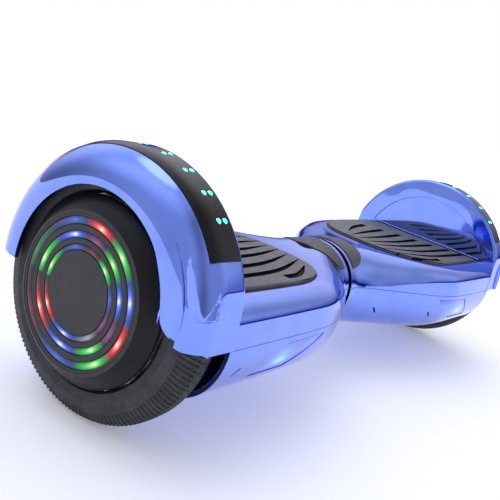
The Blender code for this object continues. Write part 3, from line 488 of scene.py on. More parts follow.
# %% [markdown]
# The fender is an arch over the wheel: a rounded rim on its inner wall, a level crown for the lamp
# strip, then a flare that curls down to the wheel cover.  Low on both ends the flare is flattened
# into an upright wall, and a scooped valley between the two leaves the pointed teardrop.

# %% Fender form
FENDER_R = 0.0938
FENDER_WALL = 0.0032
FLARE_U = 0.2836
FLARE_LIP_R = 0.0648
CROWN_END_U = 0.2600
FRONT_FLAT = 0.0900
STRIP_U = (0.2450, 0.2700)
STRIP_ANGLE = (32.5, 147.5)


def crown_radius(u):
    """Outer radius of the fender: level over the wheel, then rounding down to the lip."""
    slide = min(1.0, max(0.0, (u - CROWN_END_U) / (FLARE_U - CROWN_END_U)))
    lip = FLARE_LIP_R + 0.001
    return lip + (FENDER_R - lip) * math.sqrt(1 - slide * slide)


# each edge is a list of (degrees above the axle, distance from the middle of the board)
TEAR_OUTER = ((11.5, 0.2742), (15, 0.2760), (22, 0.2770), (31, 0.2770), (43, 0.2757), (48, 0.2765))
TEAR_INNER = ((11.5, 0.2742), (16, 0.2702), (21, 0.2672), (24, 0.2640))
FLARE_EDGE = ((-5, 0.2836), (1, 0.2836), (4, 0.2822), (8, 0.2813), (15, 0.2809), (30, 0.2808), (48, 0.2808))
WALL_EDGE = ((-5, 0.2667), (7.5, 0.2667), (16.5, 0.2650), (24, 0.2640))


def edge_at(rise, edge):
    return float(np.interp(rise, [e[0] for e in edge], [e[1] for e in edge]))


def hollow(u, low_u, high_u, depth, slope):
    """Flat floored hollow between two places, with sloping sides."""
    if not low_u < u < high_u:
        return 0.0
    return depth * smoothstep(0.0, slope, min(u - low_u, high_u - u))


def valley_depth(rise, u):
    """Depth of the hollow round the teardrop, down to the seam."""
    if rise > 48:
        return 0.0
    depth = 0.0048 * (1 - smoothstep(30, 48, rise))
    flare = edge_at(rise, FLARE_EDGE)
    wall = edge_at(rise, WALL_EDGE)
    if rise < 11.5:
        return hollow(u, wall, flare, depth, 0.0011)
    beside = hollow(u, edge_at(rise, TEAR_OUTER), flare, depth, 0.0011)
    under = 0.0
    if rise < 24:
        under = hollow(u, wall, edge_at(rise, TEAR_INNER), 0.0030 * (1 - smoothstep(17, 24, rise)), 0.0011)
    return max(beside, under)


def fender_solid(inset=0.0, inner_u=RIM_U, run_out=0.0, steps=480):
    """Fender arch from its inner wall to the lip of the flare."""
    spots = [(inner_u, FENDER_R - inset)]
    if not inset:
        arc = [math.radians(90 * i / 6) for i in range(7)]
        spots = [(inner_u + 0.0040 * (1 - math.cos(a)), FENDER_R - 0.0030 * (1 - math.sin(a))) for a in arc]
    reach = FLARE_U - CROWN_END_U - inset
    across = [i / 64 for i in range(61)] + [math.sin(math.radians(a)) for a in (72, 75, 78, 81, 84, 87, 90)]
    for slide in across:
        rise = (FENDER_R - FLARE_LIP_R - 0.001 - inset) * math.sqrt(max(0.0, 1 - slide * slide))
        spots.append((CROWN_END_U + reach * slide, FLARE_LIP_R + 0.001 + rise))
    rings = []
    for u, r in sorted(spots):
        ring = []
        for i in range(steps):
            theta = 2 * math.pi * (i + 0.5) / steps
            rise = math.degrees(math.asin(math.sin(theta)))
            sunk = valley_depth(rise, u) if math.cos(theta) < 0 else 0.0
            radius = max(r - sunk, FLARE_LIP_R + 0.001 - inset)
            reach_flat = smoothstep(edge_at(rise, WALL_EDGE) + 0.0006, edge_at(rise, WALL_EDGE) - 0.0006, u)
            lean = DRAFT * max(0.0, radius * math.sin(theta) + AXLE_Z - SEAM_Z)
            flat = min(radius, (FRONT_FLAT - inset - lean) / max(abs(math.cos(theta)), 1e-6))
            radius += (flat - radius) * reach_flat
            ring.append((-u, radius * math.cos(theta), AXLE_Z + radius * math.sin(theta)))
        rings.append(ring)
    if run_out:
        rings.append([(x - run_out, y, z) for x, y, z in rings[-1]])
    bm = bmesh.new()
    bridge(bm, rings)
    bmesh.ops.triangulate(bm, faces=[f for f in bm.faces if len(f.verts) == 4])
    return solid_from(bm, "fender form", chrome)


def crown_band(us, drops, angles, steps, mat, across=8):
    """Curved slab that follows the crown between two depths below it."""
    places = [us[0] + (us[1] - us[0]) * k / (across - 1) for k in range(across)]
    rings = []
    for i in range(steps + 1):
        a = math.radians(angles[0] + (angles[1] - angles[0]) * i / steps)
        corners = [(u, crown_radius(u) - drops[0]) for u in places]
        corners += [(u, crown_radius(u) - drops[1]) for u in reversed(places)]
        rings.append([(-u, -r * math.cos(a), AXLE_Z + r * math.sin(a)) for u, r in corners])
    bm = bmesh.new()
    bridge(bm, rings)
    return solid_from(bm, "crown band", mat)


print("fender form ready")

# %% [markdown]
# The foot pad's outline is a closed spline, pointed inboard.  The neck cover is a lens shaped
# patch over the collar, found by walking round the body's own surface.

# %% Pad and neck forms
PAD_TOP = 0.1105
PAD_LIP = 0.1073
TRAY_Z = 0.1036
PAD_OUTLINE = (
    (-0.2385, -0.0660), (-0.1700, -0.0655), (-0.1350, -0.0645), (-0.1150, -0.0610), (-0.0990, -0.0525),
    (-0.0885, -0.0380), (-0.0850, -0.0150), (-0.0875, 0.0100), (-0.0980, 0.0330), (-0.1160, 0.0520),
    (-0.1380, 0.0640), (-0.1700, 0.0655), (-0.2385, 0.0660),
)
NECK_U = (0.0085, 0.0365)
NECK_ANGLE = (36, 144)


def spline(points, steps):
    """Smooth curve through points."""
    pts = [Vector(p) for p in points]
    pts = [2 * pts[0] - pts[1]] + pts + [2 * pts[-1] - pts[-2]]
    out = []
    for p0, p1, p2, p3 in zip(pts, pts[1:], pts[2:], pts[3:]):
        for i in range(steps):
            t = i / steps
            out.append(0.5 * (2 * p1 + (p2 - p0) * t + (2 * p0 - 5 * p1 + 4 * p2 - p3) * t ** 2
                              + (3 * p1 - p0 - 3 * p2 + p3) * t ** 3))
    return out + [pts[-2]]


def pad_outline(grow=0.0):
    """Outline of the pad, grown or shrunk along its normals."""
    points = [Vector(PAD_OUTLINE[0])] + spline(PAD_OUTLINE[1:-1], 6) + [Vector(PAD_OUTLINE[-1])]
    grown = []
    for i, p in enumerate(points):
        along = (points[(i + 1) % len(points)] - points[i - 1]).normalized()
        normal = Vector((along.y, -along.x))
        if normal.dot(p - Vector((-0.145, 0.0))) < 0:
            normal = -normal
        if i in (0, len(points) - 1):
            normal = Vector((-1, math.copysign(1, p.y)))
        grown.append(p + normal * grow)
    return [(p.x, p.y) for p in grown]


def neck_radius(angle, u):
    """Distance from the pivot axis to the body along a polar angle."""
    ring = body_section(u)[:30]
    polar = [(math.atan2(z - PIVOT_Z, -y), math.hypot(y, z - PIVOT_Z)) for _, y, z in ring]
    for (a0, r0), (a1, r1) in zip(polar, polar[1:]):
        if a0 <= angle <= a1 and a1 > a0:
            return r0 + (r1 - r0) * (angle - a0) / (a1 - a0)
    return polar[0][1] if angle < polar[0][0] else polar[-1][1]


def neck_patch(low, high, mat, grow=0.0, steps=60, across=12):
    """Curved patch over the collar between two offsets from the body."""
    span = [math.radians(NECK_ANGLE[0] - 60 * grow), math.radians(NECK_ANGLE[1] + 60 * grow)]
    rings = []
    for i in range(steps + 1):
        a = span[0] + (span[1] - span[0]) * i / steps
        inner_u = NECK_U[0] - grow
        outer_u = inner_u + 0.0035 + 2 * grow + (NECK_U[1] - NECK_U[0]) * math.sin(math.pi * i / steps) ** 0.55
        ring = []
        for offset, way in ((low, 1), (high, -1)):
            for k in range(across)[::way]:
                u = inner_u + (outer_u - inner_u) * k / (across - 1)
                r = neck_radius(a, u) + offset
                ring.append((-u, -r * math.cos(a), PIVOT_Z + r * math.sin(a)))
        rings.append(ring)
    bm = bmesh.new()
    bridge(bm, rings)
    return solid_from(bm, "neck patch", mat)


print("pad and neck forms ready")

# %% [markdown]
# The upper shell is one moulding with its fender: body and arch joined, hollowed for the works and
# the wheel, cut off at the seam, then sunk for the pad, the lamp strip and the neck cover.

# %% Upper shells
top = body_solid(0.003, 0.2430, 90)
cut(top, fender_solid(), "UNION")


def under_deck(u):
    """The deck is thick enough under the foot to hold the pad's tray."""
    return WALL + (0.0068 - WALL) * smoothstep(0.02, 0.06, u)


cut(top, body_solid(-0.010, RIM_U - 0.0002, 40, WALL, under_deck))
cut(top, fender_solid(FENDER_WALL, RIM_U + WALL, 0.02))


def slab(low, high):
    """Wide block between two heights, for cutting at the seam."""
    bm = bmesh.new()
    prism(bm, ((-0.32, -0.12), (0.02, -0.12), (0.02, 0.12), (-0.32, 0.12)), low, high)
    return solid_from(bm, "seam block", chrome)


cut(top, slab(-0.02, SEAM_Z))
bm = bmesh.new()
prism(bm, pad_outline(0.0009), TRAY_Z, 0.13)
cut(top, solid_from(bm, "pad tray", chrome))
cut(top, crown_band((STRIP_U[0] - 0.0003, STRIP_U[1] + 0.0003), (0.0024, -0.004),
                    (STRIP_ANGLE[0] - 0.2, STRIP_ANGLE[1] + 0.2), 120, chrome))
cut(top, neck_patch(-0.0011, 0.004, chrome, 0.0003))
bm = bmesh.new()
rod(bm, (-0.20, 0, AXLE_Z), (-0.26, 0, AXLE_Z), 0.0105)
cut(top, solid_from(bm, "axle notch", chrome))
PANEL_R = 0.0735
PANEL_LOW = 0.1115 - AXLE_Z
start = math.asin(PANEL_LOW / PANEL_R)
arc = [start + (math.pi - 2 * start) * i / 90 for i in range(91)]
bm = bmesh.new()
bridge(bm, [[(-u, PANEL_R * math.cos(a), AXLE_Z + PANEL_R * math.sin(a)) for a in arc]
            for u in (0.2300, RIM_U + 0.0011)])
cut(top, solid_from(bm, "panel recess", chrome))
bm = bmesh.new()
# a quarter ellipse, 22 mm deep and 12.5 mm high, rounds the flare's foot
corner = [(-0.0600, 0.0780)]
for i in range(9):
    t = math.radians(90 * i / 8)
    corner.append((-0.0850 + 0.0220 * math.cos(t), 0.0985 - 0.0125 * math.sin(t)))
corner.append((-0.0950, 0.0780))
bridge(bm, [[(-u, y, z) for y, z in corner] for u in (0.2778, 0.2850)])
cut(top, solid_from(bm, "rounded front corner", chrome))
for vert in top.data.vertices:                # the fender's foot stays inside the board's own depth
    vert.co.y = max(-0.0918, min(0.0918, vert.co.y))
settle(top, 42)
both_sides(top, "upper_shell", "{}_half", ["top_shell"])

# %% [markdown]
# The lower shell is a tray that meets the upper one at the seam.  Its outboard end is open to the
# wheel with a rolled lip, and its walls are cut for the lamps, the switch and the charging socket.

# %% Lower shells
FRONT_LENS = ((0.1620, 0.0552), (0.2060, 0.0552), (0.1750, 0.0768), (0.1230, 0.0768))
REAR_LENS = ((0.1390, 0.0545), (0.1950, 0.0545), (0.1840, 0.0755), (0.1280, 0.0755))
# left front wall and right front wall, which is the left rear wall turned half round
FACING_LENSES = {"left": ((-1, FRONT_LENS), (1, REAR_LENS)), "right": ((1, FRONT_LENS), (-1, REAR_LENS))}
LENS_U, LENS_Z = (0.123, 0.206), (0.0552, 0.0768)
BUTTON_U, BUTTON_Z = 0.2060, 0.0715


def lens_block(facing, corners, near, far, grow=0.0, mat=None):
    """Slanted four-cornered lamp outline pushed through a wall."""
    mid_u = sum(u for u, _ in corners) / 4
    mid_z = sum(z for _, z in corners) / 4
    outline = [(u + math.copysign(grow, u - mid_u), z + math.copysign(grow, z - mid_z)) for u, z in corners]
    bm = bmesh.new()
    bridge(bm, [[(-u, facing * y, z) for u, z in outline] for y in (near, far)])
    return solid_from(bm, "lamp outline", mat or chrome)


def slot_block(facing, u, z):
    """Short slanted drain slot pushed through a wall."""
    tilt = Vector((0.0036, 0.0033)).normalized()
    half_long, half_wide = 0.0046, 0.0008
    outline = []
    for i in range(16):
        a = 2 * math.pi * i / 16
        end = math.copysign(half_long - half_wide, math.cos(a))
        along, across = end + half_wide * math.cos(a), half_wide * math.sin(a)
        outline.append((-u + tilt.x * along - tilt.y * across, z + tilt.y * along + tilt.x * across))
    bm = bmesh.new()
    bridge(bm, [[(x, facing * y, zz) for x, zz in outline] for y in (0.030, 0.095)])
    return solid_from(bm, "slot", chrome)


low = body_solid(0.003, LOW_END_U, 90)
cut(low, body_solid(-0.010, LOW_END_U - 0.0130, 40, WALL))
cut(low, body_solid(LOW_END_U - 0.0200, 0.26, 3, WALL))
cut(low, slab(SEAM_Z - 0.0003, 0.14))
bm = bmesh.new()
rod(bm, (-0.20, 0, AXLE_Z), (-0.26, 0, AXLE_Z), 0.0125)
cut(low, solid_from(bm, "axle notch", chrome))
for facing, u, z in ((-1, 0.2268, 0.0640), (1, 0.0480, 0.0600), (1, 0.1190, 0.0600)):
    cut(low, slot_block(facing, u, z))
other_low = twin(low)
for side, made, facing, radius in (("left", low, 1, 0.0060), ("right", other_low, -1, 0.0080)):
    for wall, corners in FACING_LENSES[side]:
        cut(made, lens_block(wall, corners, 0.05, 0.11, 0.0006))
    bm = bmesh.new()
    rod(bm, (-BUTTON_U, facing * 0.070, BUTTON_Z), (-BUTTON_U, facing * 0.095, BUTTON_Z), radius)
    cut(made, solid_from(bm, "control hole", chrome))
    settle(made, 28)
other_low.data.transform(TURN)
for side, made in (("left", low), ("right", other_low)):
    made.name = f"{side}_lower_shell"
    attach(made, f"{side}_half")
    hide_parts(f"{side}_bottom_shell")
print("lower shells", len(low.data.polygons), "faces each")

# %% [markdown]
# A gloss black strip lies in a bed over the crown.  Two rows of small green lamps stand in it,
# each a lit dome whose green glow varies in fine patches.

# %% Fender strip and lamps
LED_U = (0.2490, 0.2550)
LED_ANGLES = (47.5, 59.5, 71.5, 83.5, 96.5, 108.5, 120.5, 132.5)
lamp_green, tree, shader = start_finish("lit green lamp dome", Roughness=0.12, Coat_Weight=0.6, Emission_Strength=2.6)
spot = add(tree, "ShaderNodeTexCoord").outputs["Object"]
glow = ramp(tree, mottle(tree, spot, 1.6), ((0.30, "#18C79A"), (0.55, "#55F2C4"), (0.70, "#C8FFEC")))
feed(shader, Base_Color=glow.outputs["Color"])
feed(shader, Emission_Color=glow.outputs["Color"])

strip = crown_band(STRIP_U, (0.0022, -0.0003), STRIP_ANGLE, 160, gloss_black)
holes, domes = bmesh.new(), bmesh.new()
for angle in LED_ANGLES:
    a = math.radians(angle)
    out = Vector((0, -math.cos(a), math.sin(a)))
    for u in LED_U:
        foot = Vector((-u, 0, AXLE_Z)) + out * crown_radius(u)
        rod(holes, foot - out * 0.0012, foot + out * 0.003, 0.0022, 24)
        turn = Vector((0, 0, 1)).rotation_difference(out).to_matrix()
        rings = []
        for lift, r in ((-0.0009, 0.0019), (-0.0002, 0.0019), (0.0003, 0.0016), (0.0006, 0.0010), (0.0007, 0.0004)):
            rings.append([foot + turn @ Vector((r * math.cos(b * math.pi / 10), r * math.sin(b * math.pi / 10), lift))
                          for b in range(20)])
        bridge(domes, rings)
cut(strip, solid_from(holes, "lamp holes", gloss_black))
settle(strip, 30)
both_sides(strip, "gloss_strip", "{}_half", ["fender_strip"])
both_sides(solid_from(domes, "lamp domes", lamp_green, 50), "lamp_domes", "{}_half", ["fender_lamps"])

# %% [markdown]
# The foot pad is a rubber moulding with wedge shaped grooves between broad flat ribs.  The grooves
# fan out from the waist, wide at the wheel end and closing to a point inboard.  Both pads carry
# the same fan seen in a mirror, so the right one is cut on its own.

# %% Foot pads
GROOVES = (
    ((-0.176, 0.048), (-0.140, 0.042), (-0.106, 0.031)),
    ((-0.189, 0.031), (-0.140, 0.026), (-0.094, 0.020)),
    ((-0.202, 0.014), (-0.140, 0.010), (-0.089, 0.011)),
    ((-0.211, -0.003), (-0.145, -0.005), (-0.090, 0.001)),
    ((-0.219, -0.020), (-0.140, -0.017), (-0.088, -0.008)),
    ((-0.231, -0.036), (-0.150, -0.033), (-0.091, -0.019)),
    ((-0.236, -0.051), (-0.150, -0.047), (-0.090, -0.030)),
    ((-0.150, -0.0575), (-0.128, -0.055), (-0.100, -0.042)),
)
GROOVE_WIDTH = 0.0064
GROOVE_DEPTH = 0.0024
GROOVED_V = 0.0645
PLUNGERS = ((0.190, -0.040), (0.190, 0.034), (0.100, -0.022))


def foot_pad(lean):
    """Ribbed pad with a rounded border; lean mirrors the grooves."""
    bm = bmesh.new()
    rings = []
    for z, grow in ((PAD_LIP - 0.0016, 0.0), (PAD_TOP - 0.0011, 0.0), (PAD_TOP - 0.0007, -0.0001),
                    (PAD_TOP - 0.0003, -0.0004), (PAD_TOP - 0.0001, -0.0008), (PAD_TOP, -0.0013)):
        rings.append([(x, y, z) for x, y in pad_outline(grow)])
    bridge(bm, rings)
    pad = solid_from(bm, "foot pad", pad_rubber, 40)
    for blunt, bend, tip in GROOVES:
        path = spline([(u, lean * v) for u, v in (blunt, bend, tip)], 8)
        left, right = [], []
        for i, p in enumerate(path):
            along = path[min(i + 1, len(path) - 1)] - path[max(i - 1, 0)]
            normal = Vector((-along.y, along.x)).normalized()
            width = GROOVE_WIDTH * (1 - 0.90 * (i / (len(path) - 1)) ** 2.2) / 2
            left.append(p + normal * width)
            right.append(p - normal * width)
        bm = bmesh.new()
        prism(bm, [tuple(p) for p in left + right[::-1]], PAD_TOP - GROOVE_DEPTH, PAD_TOP + 0.002)
        cut(pad, solid_from(bm, "groove", pad_rubber))
    for u, v in PLUNGERS:
        bm = bmesh.new()
        prism(bm, oblong(-u, v, 0.006, 0.004), 0.0992, PAD_LIP - 0.001)
        cut(pad, solid_from(bm, "plunger", pad_rubber), "UNION")
    # groove walls and floors take the near black rubber as painted shade
    pad.data.materials.append(painted_groove_shade)
    for face in pad.data.polygons:
        lowest = min(pad.data.vertices[k].co.z for k in face.vertices)
        if lowest > PAD_LIP and face.center.z < PAD_TOP - 0.0004 and abs(face.center.y) < GROOVED_V:
            face.material_index = 1
    return settle(pad, 35)


for side, lean in (("left", 1), ("right", -1)):
    pad = foot_pad(lean)
    if side == "right":
        pad.data.transform(TURN)
    pad.name = f"{side}_ribbed_pad"
    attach(pad, f"{side}_pad")
    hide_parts(f"{side}_foot_pad")
print("pads ready")

# %% [markdown]
# A grained cover wraps the top of each collar where the halves meet, sunk flush in its own bed.

# %% Neck covers
cover = neck_patch(-0.0008, 0.0006, neck_plastic)
settle(cover, 40)
both_sides(cover, "neck_wrap", "{}_half", ["neck_cover"])

# %% [markdown]
# Each lamp is a clear blue lens that follows the shell, lit from behind by two chips, so it is pale
# blue over each chip and deeper blue at the ends and along its edges.

# %% Head and tail lamps
lamp_blue, tree, shader = start_finish("edge lit blue lamp lens", Roughness=0.10, Coat_Weight=1.0,
                                       Coat_Roughness=0.03)
coords = add(tree, "ShaderNodeTexCoord").outputs["Object"]
split = add(tree, "ShaderNodeSeparateXYZ", {"Vector": coords})
reach = add(tree, "ShaderNodeMath", {0: split.outputs["X"]}, operation="ABSOLUTE").outputs["Value"]
along = add(tree, "ShaderNodeMapRange", {"Value": reach}, From_Min=LENS_U[0],
            From_Max=LENS_U[1]).outputs["Result"]
chips = add(tree, "ShaderNodeMath", {0: along}, operation="MULTIPLY")
chips.inputs[1].default_value = 4 * math.pi
wave = add(tree, "ShaderNodeMath", {0: chips.outputs["Value"]}, operation="SINE").outputs["Value"]
middle = add(tree, "ShaderNodeMapRange", {"Value": wave}, From_Min=-1.0, From_Max=1.0).outputs["Result"]
rise = add(tree, "ShaderNodeMapRange", {"Value": split.outputs["Z"]}, From_Min=LENS_Z[0],
           From_Max=LENS_Z[1]).outputs["Result"]
hump = ramp(tree, rise, ((0.0, "#202020"), (0.35, "#FFFFFF"), (0.6, "#D0D0D0"), (1.0, "#404040")), "EASE")
heat = add(tree, "ShaderNodeMath", {0: middle, 1: hump.outputs["Color"]}, operation="MULTIPLY").outputs["Value"]
paint = ramp(tree, heat, ((0.0, "#2456D8"), (0.4, "#3478F0"), (0.75, "#58A4FA"), (1.0, "#8CC8FF")))
power = add(tree, "ShaderNodeMapRange", {"Value": heat}, To_Min=0.30, To_Max=0.62).outputs["Result"]
feed(shader, Base_Color=paint.outputs["Color"])
feed(shader, Emission_Color=paint.outputs["Color"])
feed(shader, Emission_Strength=power)
flutes = add(tree, "ShaderNodeTexWave", {"Vector": coords}, bands_direction="X", Scale=110.0, Distortion=0.0)
feed(shader, Normal=relief(tree, flutes.outputs["Fac"], 0.25, 0.5))


def lamp_lens(facing, corners):
    """Lens that lies flush in the wall."""
    made = lens_block(facing, corners, 0.05, 0.11, 0.0, lamp_blue)
    cut(made, body_solid(0.11, 0.22, 40, 0.0004), "INTERSECT")
    cut(made, body_solid(0.11, 0.22, 40, 0.0030))
    return settle(made, 30)


for side in SIDES:
    names = (("front_lens", "head_lamp"), ("rear_lens", "tail_lamp"))
    for (facing, corners), (name, node) in zip(FACING_LENSES[side], names):
        piece = lamp_lens(facing, corners)
        if side == "right":
            piece.data.transform(TURN)
        piece.name = f"{side}_{name}"
        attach(piece, f"{side}_half")
        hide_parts(f"{side}_{node}")
print("lenses ready")

# %% [markdown]
# The tyre is solid rubber.  Its outer shoulder is cut by close curved grooves that run off the
# edge, the middle carries pairs of small pits between fine cross lines, and two raised rings run
# round the side wall.  The pattern is worked into one fine grid of points, all round.

# %% Tyres
TYRE_PROFILE = (
    (0.2480, 0.0620), (0.2462, 0.0640), (0.2464, 0.0745), (0.2484, 0.0810), (0.2530, 0.0845), (0.2590, 0.0850),
    (0.2650, 0.0850), (0.2698, 0.0824), (0.2736, 0.0770), (0.2762, 0.0690), (0.2750, 0.0630), (0.2715, 0.0620),
)
PITCHES = 150
AROUND = PITCHES * 8


def resample(profile, step):
    """Profile points no further apart than a step."""
    out = []
    for (u0, r0), (u1, r1) in zip(profile, profile[1:] + profile[:1]):
        count = max(1, round(math.hypot(u1 - u0, r1 - r0) / step))
        out += [(u0 + (u1 - u0) * k / count, r0 + (r1 - r0) * k / count) for k in range(count)]
    return out


def tread_cut(u, r, phase):
    """Depth of the tread at a place on the tyre; phase counts pitches round the wheel."""
    if r > 0.0765 and u > 0.2625:
        bow = 5.0 * (u - 0.2625) / 0.0100 * 0.25
        into = (phase + bow) % 1.0
        return 0.0011 if 0.30 < into < 0.80 else 0.0
    if r > 0.0800:
        into = phase % 2.0
        for row_u, offset in ((0.2500, 0.0), (0.2545, 1.0), (0.2590, 0.0)):
            here = (into - offset + 0.5) % 2.0
            if abs(u - row_u) < 0.0009 and 0.30 < here < 0.75:
                return 0.0008
        return 0.0003 if (phase * 2) % 1.0 < 0.25 else 0.0
    if u > 0.26 and (0.0722 < r < 0.0732 or 0.0682 < r < 0.0690):
        return -0.0003
    return 0.0


profile = resample(TYRE_PROFILE, 0.0008)
phases = [PITCHES * i / AROUND for i in range(AROUND)]
places = np.empty((AROUND, len(profile), 3))
for k, (u, r) in enumerate(profile):
    depth = np.array([tread_cut(u, r, p) for p in phases])
    angle = np.arange(AROUND) * 2 * math.pi / AROUND
    places[:, k, 0] = -u
    places[:, k, 1] = (r - depth) * np.cos(angle)
    places[:, k, 2] = AXLE_Z + (r - depth) * np.sin(angle)
count = len(profile)
faces = [(i * count + k, ((i + 1) % AROUND) * count + k, ((i + 1) % AROUND) * count + (k + 1) % count,
          i * count + (k + 1) % count) for i in range(AROUND) for k in range(count)]
mesh = bpy.data.meshes.new("tyre")
mesh.from_pydata(places.reshape(-1, 3).tolist(), [], faces)
tyre = bpy.data.objects.new("tyre", mesh)
bpy.context.scene.collection.objects.link(tyre)
mesh.materials.append(tyre_rubber)
pick(tyre)
bpy.ops.object.mode_set(mode="EDIT")
bpy.ops.mesh.select_all(action="SELECT")
bpy.ops.mesh.normals_make_consistent(inside=False)
bpy.ops.object.mode_set(mode="OBJECT")
bpy.ops.object.shade_smooth_by_angle(angle=math.radians(24))
both_sides(tyre, "treaded_tyre", "{}_wheel", ["tyre"])

# %% [markdown]
# The wheel cover is a shallow grained dish: a flat face, a broad bevel and a thin lip.  Three round
# channels in its face hold the light rings.

# %% Wheel covers
HUB_FACE_U = 0.2868
LIGHT_RINGS = {"inner": (0.0260, 0.0297), "middle": (0.0333, 0.0378), "outer": (0.0417, 0.0467)}


def round_axle(u, r, i, sides):
    """Point number i of a circle round the wheel's axis."""
    a = 2 * math.pi * i / sides
    return -u, r * math.cos(a), AXLE_Z + r * math.sin(a)


def turned(profile, sides, mat, sharp=30.0, closed=True):
    """Profile of (u, r) points spun round the wheel's axis."""
    bm = bmesh.new()
    rings = []
    for u, r in profile:
        rings.append([round_axle(u, r, i, sides) for i in range(sides)])
    if closed:
        rings.append(rings[0])
    bridge(bm, rings, caps=not closed)
    bmesh.ops.remove_doubles(bm, verts=bm.verts, dist=0.0000005)
    return solid_from(bm, "turned form", mat, sharp)


dish = [(0.2752, 0.0575), (0.2752, 0.0596), (0.2756, 0.0603), (0.2764, 0.0607), (0.2774, 0.0606), (0.2782, 0.0600),
        (0.2836, 0.0542), (0.2856, 0.0519), (0.2864, 0.0508), (HUB_FACE_U, 0.0500), (HUB_FACE_U, 0.0492),
        (HUB_FACE_U - 0.0004, 0.0488), (HUB_FACE_U - 0.0004, 0.0482), (HUB_FACE_U, 0.0478)]
for name in ("outer", "middle", "inner"):
    low_r, high_r = LIGHT_RINGS[name]
    dish += [(HUB_FACE_U, high_r + 0.0003), (HUB_FACE_U - 0.0005, high_r), (HUB_FACE_U - 0.0018, high_r),
             (HUB_FACE_U - 0.0018, low_r), (HUB_FACE_U - 0.0005, low_r), (HUB_FACE_U, low_r - 0.0003)]
dish = [(0.2825, 0.0495)] + dish + [(HUB_FACE_U, 0.0245), (HUB_FACE_U, 0.0010)]
cover = turned(dish, 180, cover_plastic, 35, closed=False)
cover.data.materials.append(satin_black)
for face in cover.data.polygons:
    if math.hypot(face.center.y, face.center.z - AXLE_Z) > 0.0504:
        face.material_index = 1
both_sides(cover, "wheel_cover", "{}_wheel", ["hub_cover"])

# %% [markdown]
# Each light ring is a frosted half round pipe over a circle of coloured chips.  A chip shows as a
# pale hot core that bleeds to its own colour and then fades into the grey of the pipe.  A UV map
# runs once round each ring, so the chips stay put as the wheel turns.

# %% Light rings
TONE = {"R": "#FF1A28", "G": "#0CE048", "B": "#1C60F4", "r": "#9A3848", "g": "#2F9A58", "b": "#2F62D0",
        "p": "#9A4F9A", "w": "#A8B4C8"}
POWER = {"R": 1.0, "G": 1.0, "B": 1.0, "r": 0.40, "g": 0.50, "b": 0.62, "p": 0.50, "w": 0.60}
# all three rings share the spokes of one lamp board, so a chip only needs its colour in each ring
CHIP_ANGLES = (15, 70, 100, 130, 165, 200, 230, 275, 325)
CHIPS = {"outer": "gbRGBRGbr", "middle": "GBpGBpGBR", "inner": "GbrGbpwBR"}
CHIP_SPREAD = 0.42


def ring_finish(name, chips):
    """Frosted light pipe: colour and power follow the angle round the ring."""
    mat, tree, shader = start_finish(f"frosted light pipe {name}", Roughness=0.40, Specular_IOR_Level=0.3)
    stops = [(0.0, "#77787A", 0.03)]
    for before, angle, after, kind in zip((-20,) + CHIP_ANGLES, CHIP_ANGLES, CHIP_ANGLES[1:] + (360,), chips):
        reach = POWER[kind]
        stops += [((angle - CHIP_SPREAD * (angle - before)) / 360, TONE[kind], 0.30 * reach),
                  (angle / 360, TONE[kind], reach),
                  ((angle + CHIP_SPREAD * (after - angle)) / 360, TONE[kind], 0.30 * reach)]
    stops.append((1.0, "#77787A", 0.03))
    uv = add(tree, "ShaderNodeUVMap", uv_map="round").outputs["UV"]
    place = add(tree, "ShaderNodeSeparateXYZ", {"Vector": uv})
    paint = ramp(tree, place.outputs["X"], stops)
    across = ramp(tree, place.outputs["Y"], ((0.0, "#606060"), (0.5, "#FFFFFF"), (1.0, "#606060")), "EASE")
    power = add(tree, "ShaderNodeMath", {0: paint.outputs["Alpha"], 1: across.outputs["Color"]}, operation="MULTIPLY")
    lit = add(tree, "ShaderNodeMath", {0: power.outputs["Value"]}, operation="MULTIPLY")
    lit.inputs[1].default_value = 1.25
    core = add(tree, "ShaderNodeMath", {0: power.outputs["Value"]}, operation="POWER")
    core.inputs[1].default_value = 5.0
    hot = add(tree, "ShaderNodeMixRGB", {"Fac": core.outputs["Value"], "Color1": paint.outputs["Color"]},
              Color2=linear("#FFF6D0"))
    feed(shader, Emission_Color=hot.outputs["Color"])
    feed(shader, Emission_Strength=lit.outputs["Value"])
    spot = add(tree, "ShaderNodeTexCoord").outputs["Object"]
    frost = ramp(tree, mottle(tree, spot, 0.6), ((0.3, "#2E3032"), (0.7, "#3C3E40")))
    feed(shader, Base_Color=frost.outputs["Color"])
    feed(shader, Normal=relief(tree, mottle(tree, spot, 0.4, 2.0), 0.01, 0.4))
    return mat


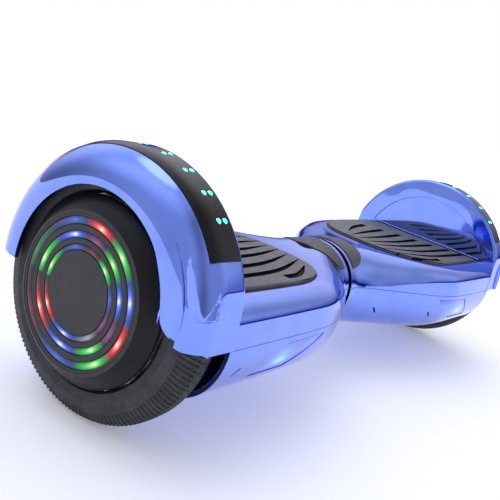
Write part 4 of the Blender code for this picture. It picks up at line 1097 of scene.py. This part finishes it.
def light_ring(name):
    """Half round pipe in its channel, with a UV map that runs once round."""
    low_r, high_r = LIGHT_RINGS[name]
    mid_r, half = (low_r + high_r) / 2, (high_r - low_r) / 2 - 0.0001
    arc = [math.radians(180 * k / 10) for k in range(11)]
    section = [(HUB_FACE_U - 0.0010 + 0.0014 * math.sin(a), mid_r - half * math.cos(a)) for a in arc]
    section = [(HUB_FACE_U - 0.0016, section[0][1])] + section + [(HUB_FACE_U - 0.0016, section[-1][1])]
    sides = 240
    bm = bmesh.new()
    loops = [[bm.verts.new(round_axle(u, r, i, sides)) for u, r in section] for i in range(sides)]
    layer = bm.loops.layers.uv.new("round")
    count = len(section)
    for i in range(sides):
        a, b = loops[i], loops[(i + 1) % sides]
        for k in range(count):
            j = (k + 1) % count
            face = bm.faces.new((a[k], a[j], b[j], b[k]))
            for loop, (x, y) in zip(face.loops, ((i, k), (i, j), (i + 1, j), (i + 1, k))):
                loop[layer].uv = (x / sides, y / (count - 1))
    return solid_from(bm, "light ring", ring_finish(name, CHIPS[name]), 50)


for name in LIGHT_RINGS:
    both_sides(light_ring(name), f"light_pipe_{name}", "{}_wheel", [f"light_ring_{name}"])

# %% [markdown]
# Everything else keeps its solid.  What stays out of sight, such as the motor, the boards and the
# pivot, still gets the finish of its real material.

# %% Finishes of the other pieces
FINISHES = {
    steel: ("axle", "axle_clamp", "outer_bearing", "inner_bearing"),
    cast_aluminium: ("chassis", "motor_rim", "motor_side_cover"),
    copper: ("motor_stator",),
    board_green: ("foot_sensor", "balance_board", "wheel_light_board"),
}
SINGLES = {
    steel: ("pivot_tube", "pivot_stop_pin", "pivot_circlip", "power_button"),
    black_plastic: ("pivot_bush", "centre_ring", "power_switch", "charge_port", "charge_port_cap"),
    board_green: ("control_board",),
    shrink_film: ("battery_pack",),
}


def coat(node, mat):
    nodes[node].data.materials.clear()
    nodes[node].data.materials.append(mat)


for mat, parts in FINISHES.items():
    for part in parts:
        for side in SIDES:
            coat(f"{side}_{part}", mat)
for mat, names in SINGLES.items():
    for node in names:
        coat(node, mat)
print("finishes set")

# %% [markdown]
# The lower shells are held by cross recessed screws, whose low heads stand on the belly.

# %% Belly screws
screw_black = metal("black zinc screw", "#1C1C1E", "#2C2C2F", (0.3, 0.45), 0.3, 0.01)
SCREWS = ((0.052, -0.018), (0.052, 0.018), (0.105, -0.040), (0.105, 0.040), (0.165, -0.046), (0.165, 0.046),
          (0.222, -0.046), (0.222, 0.046))
heads = bmesh.new()
for u, v in SCREWS:
    rod(heads, (-u, v, BELLY_Z + 0.0012), (-u, v, BELLY_Z - 0.0006), 0.0030, 24, 0.0024)
screws = solid_from(heads, "belly screws", screw_black)
for long, wide, depth in ((0.0014, 0.0004, 0.0002), (0.0004, 0.0014, 0.0001)):
    slots = bmesh.new()
    for u, v in SCREWS:
        prism(slots, oblong(-u, v, long, wide), BELLY_Z - 0.002, BELLY_Z - depth)
    cut(screws, solid_from(slots, "cross recess", screw_black))
both_sides(settle(screws), "belly_screws", "{}_half")
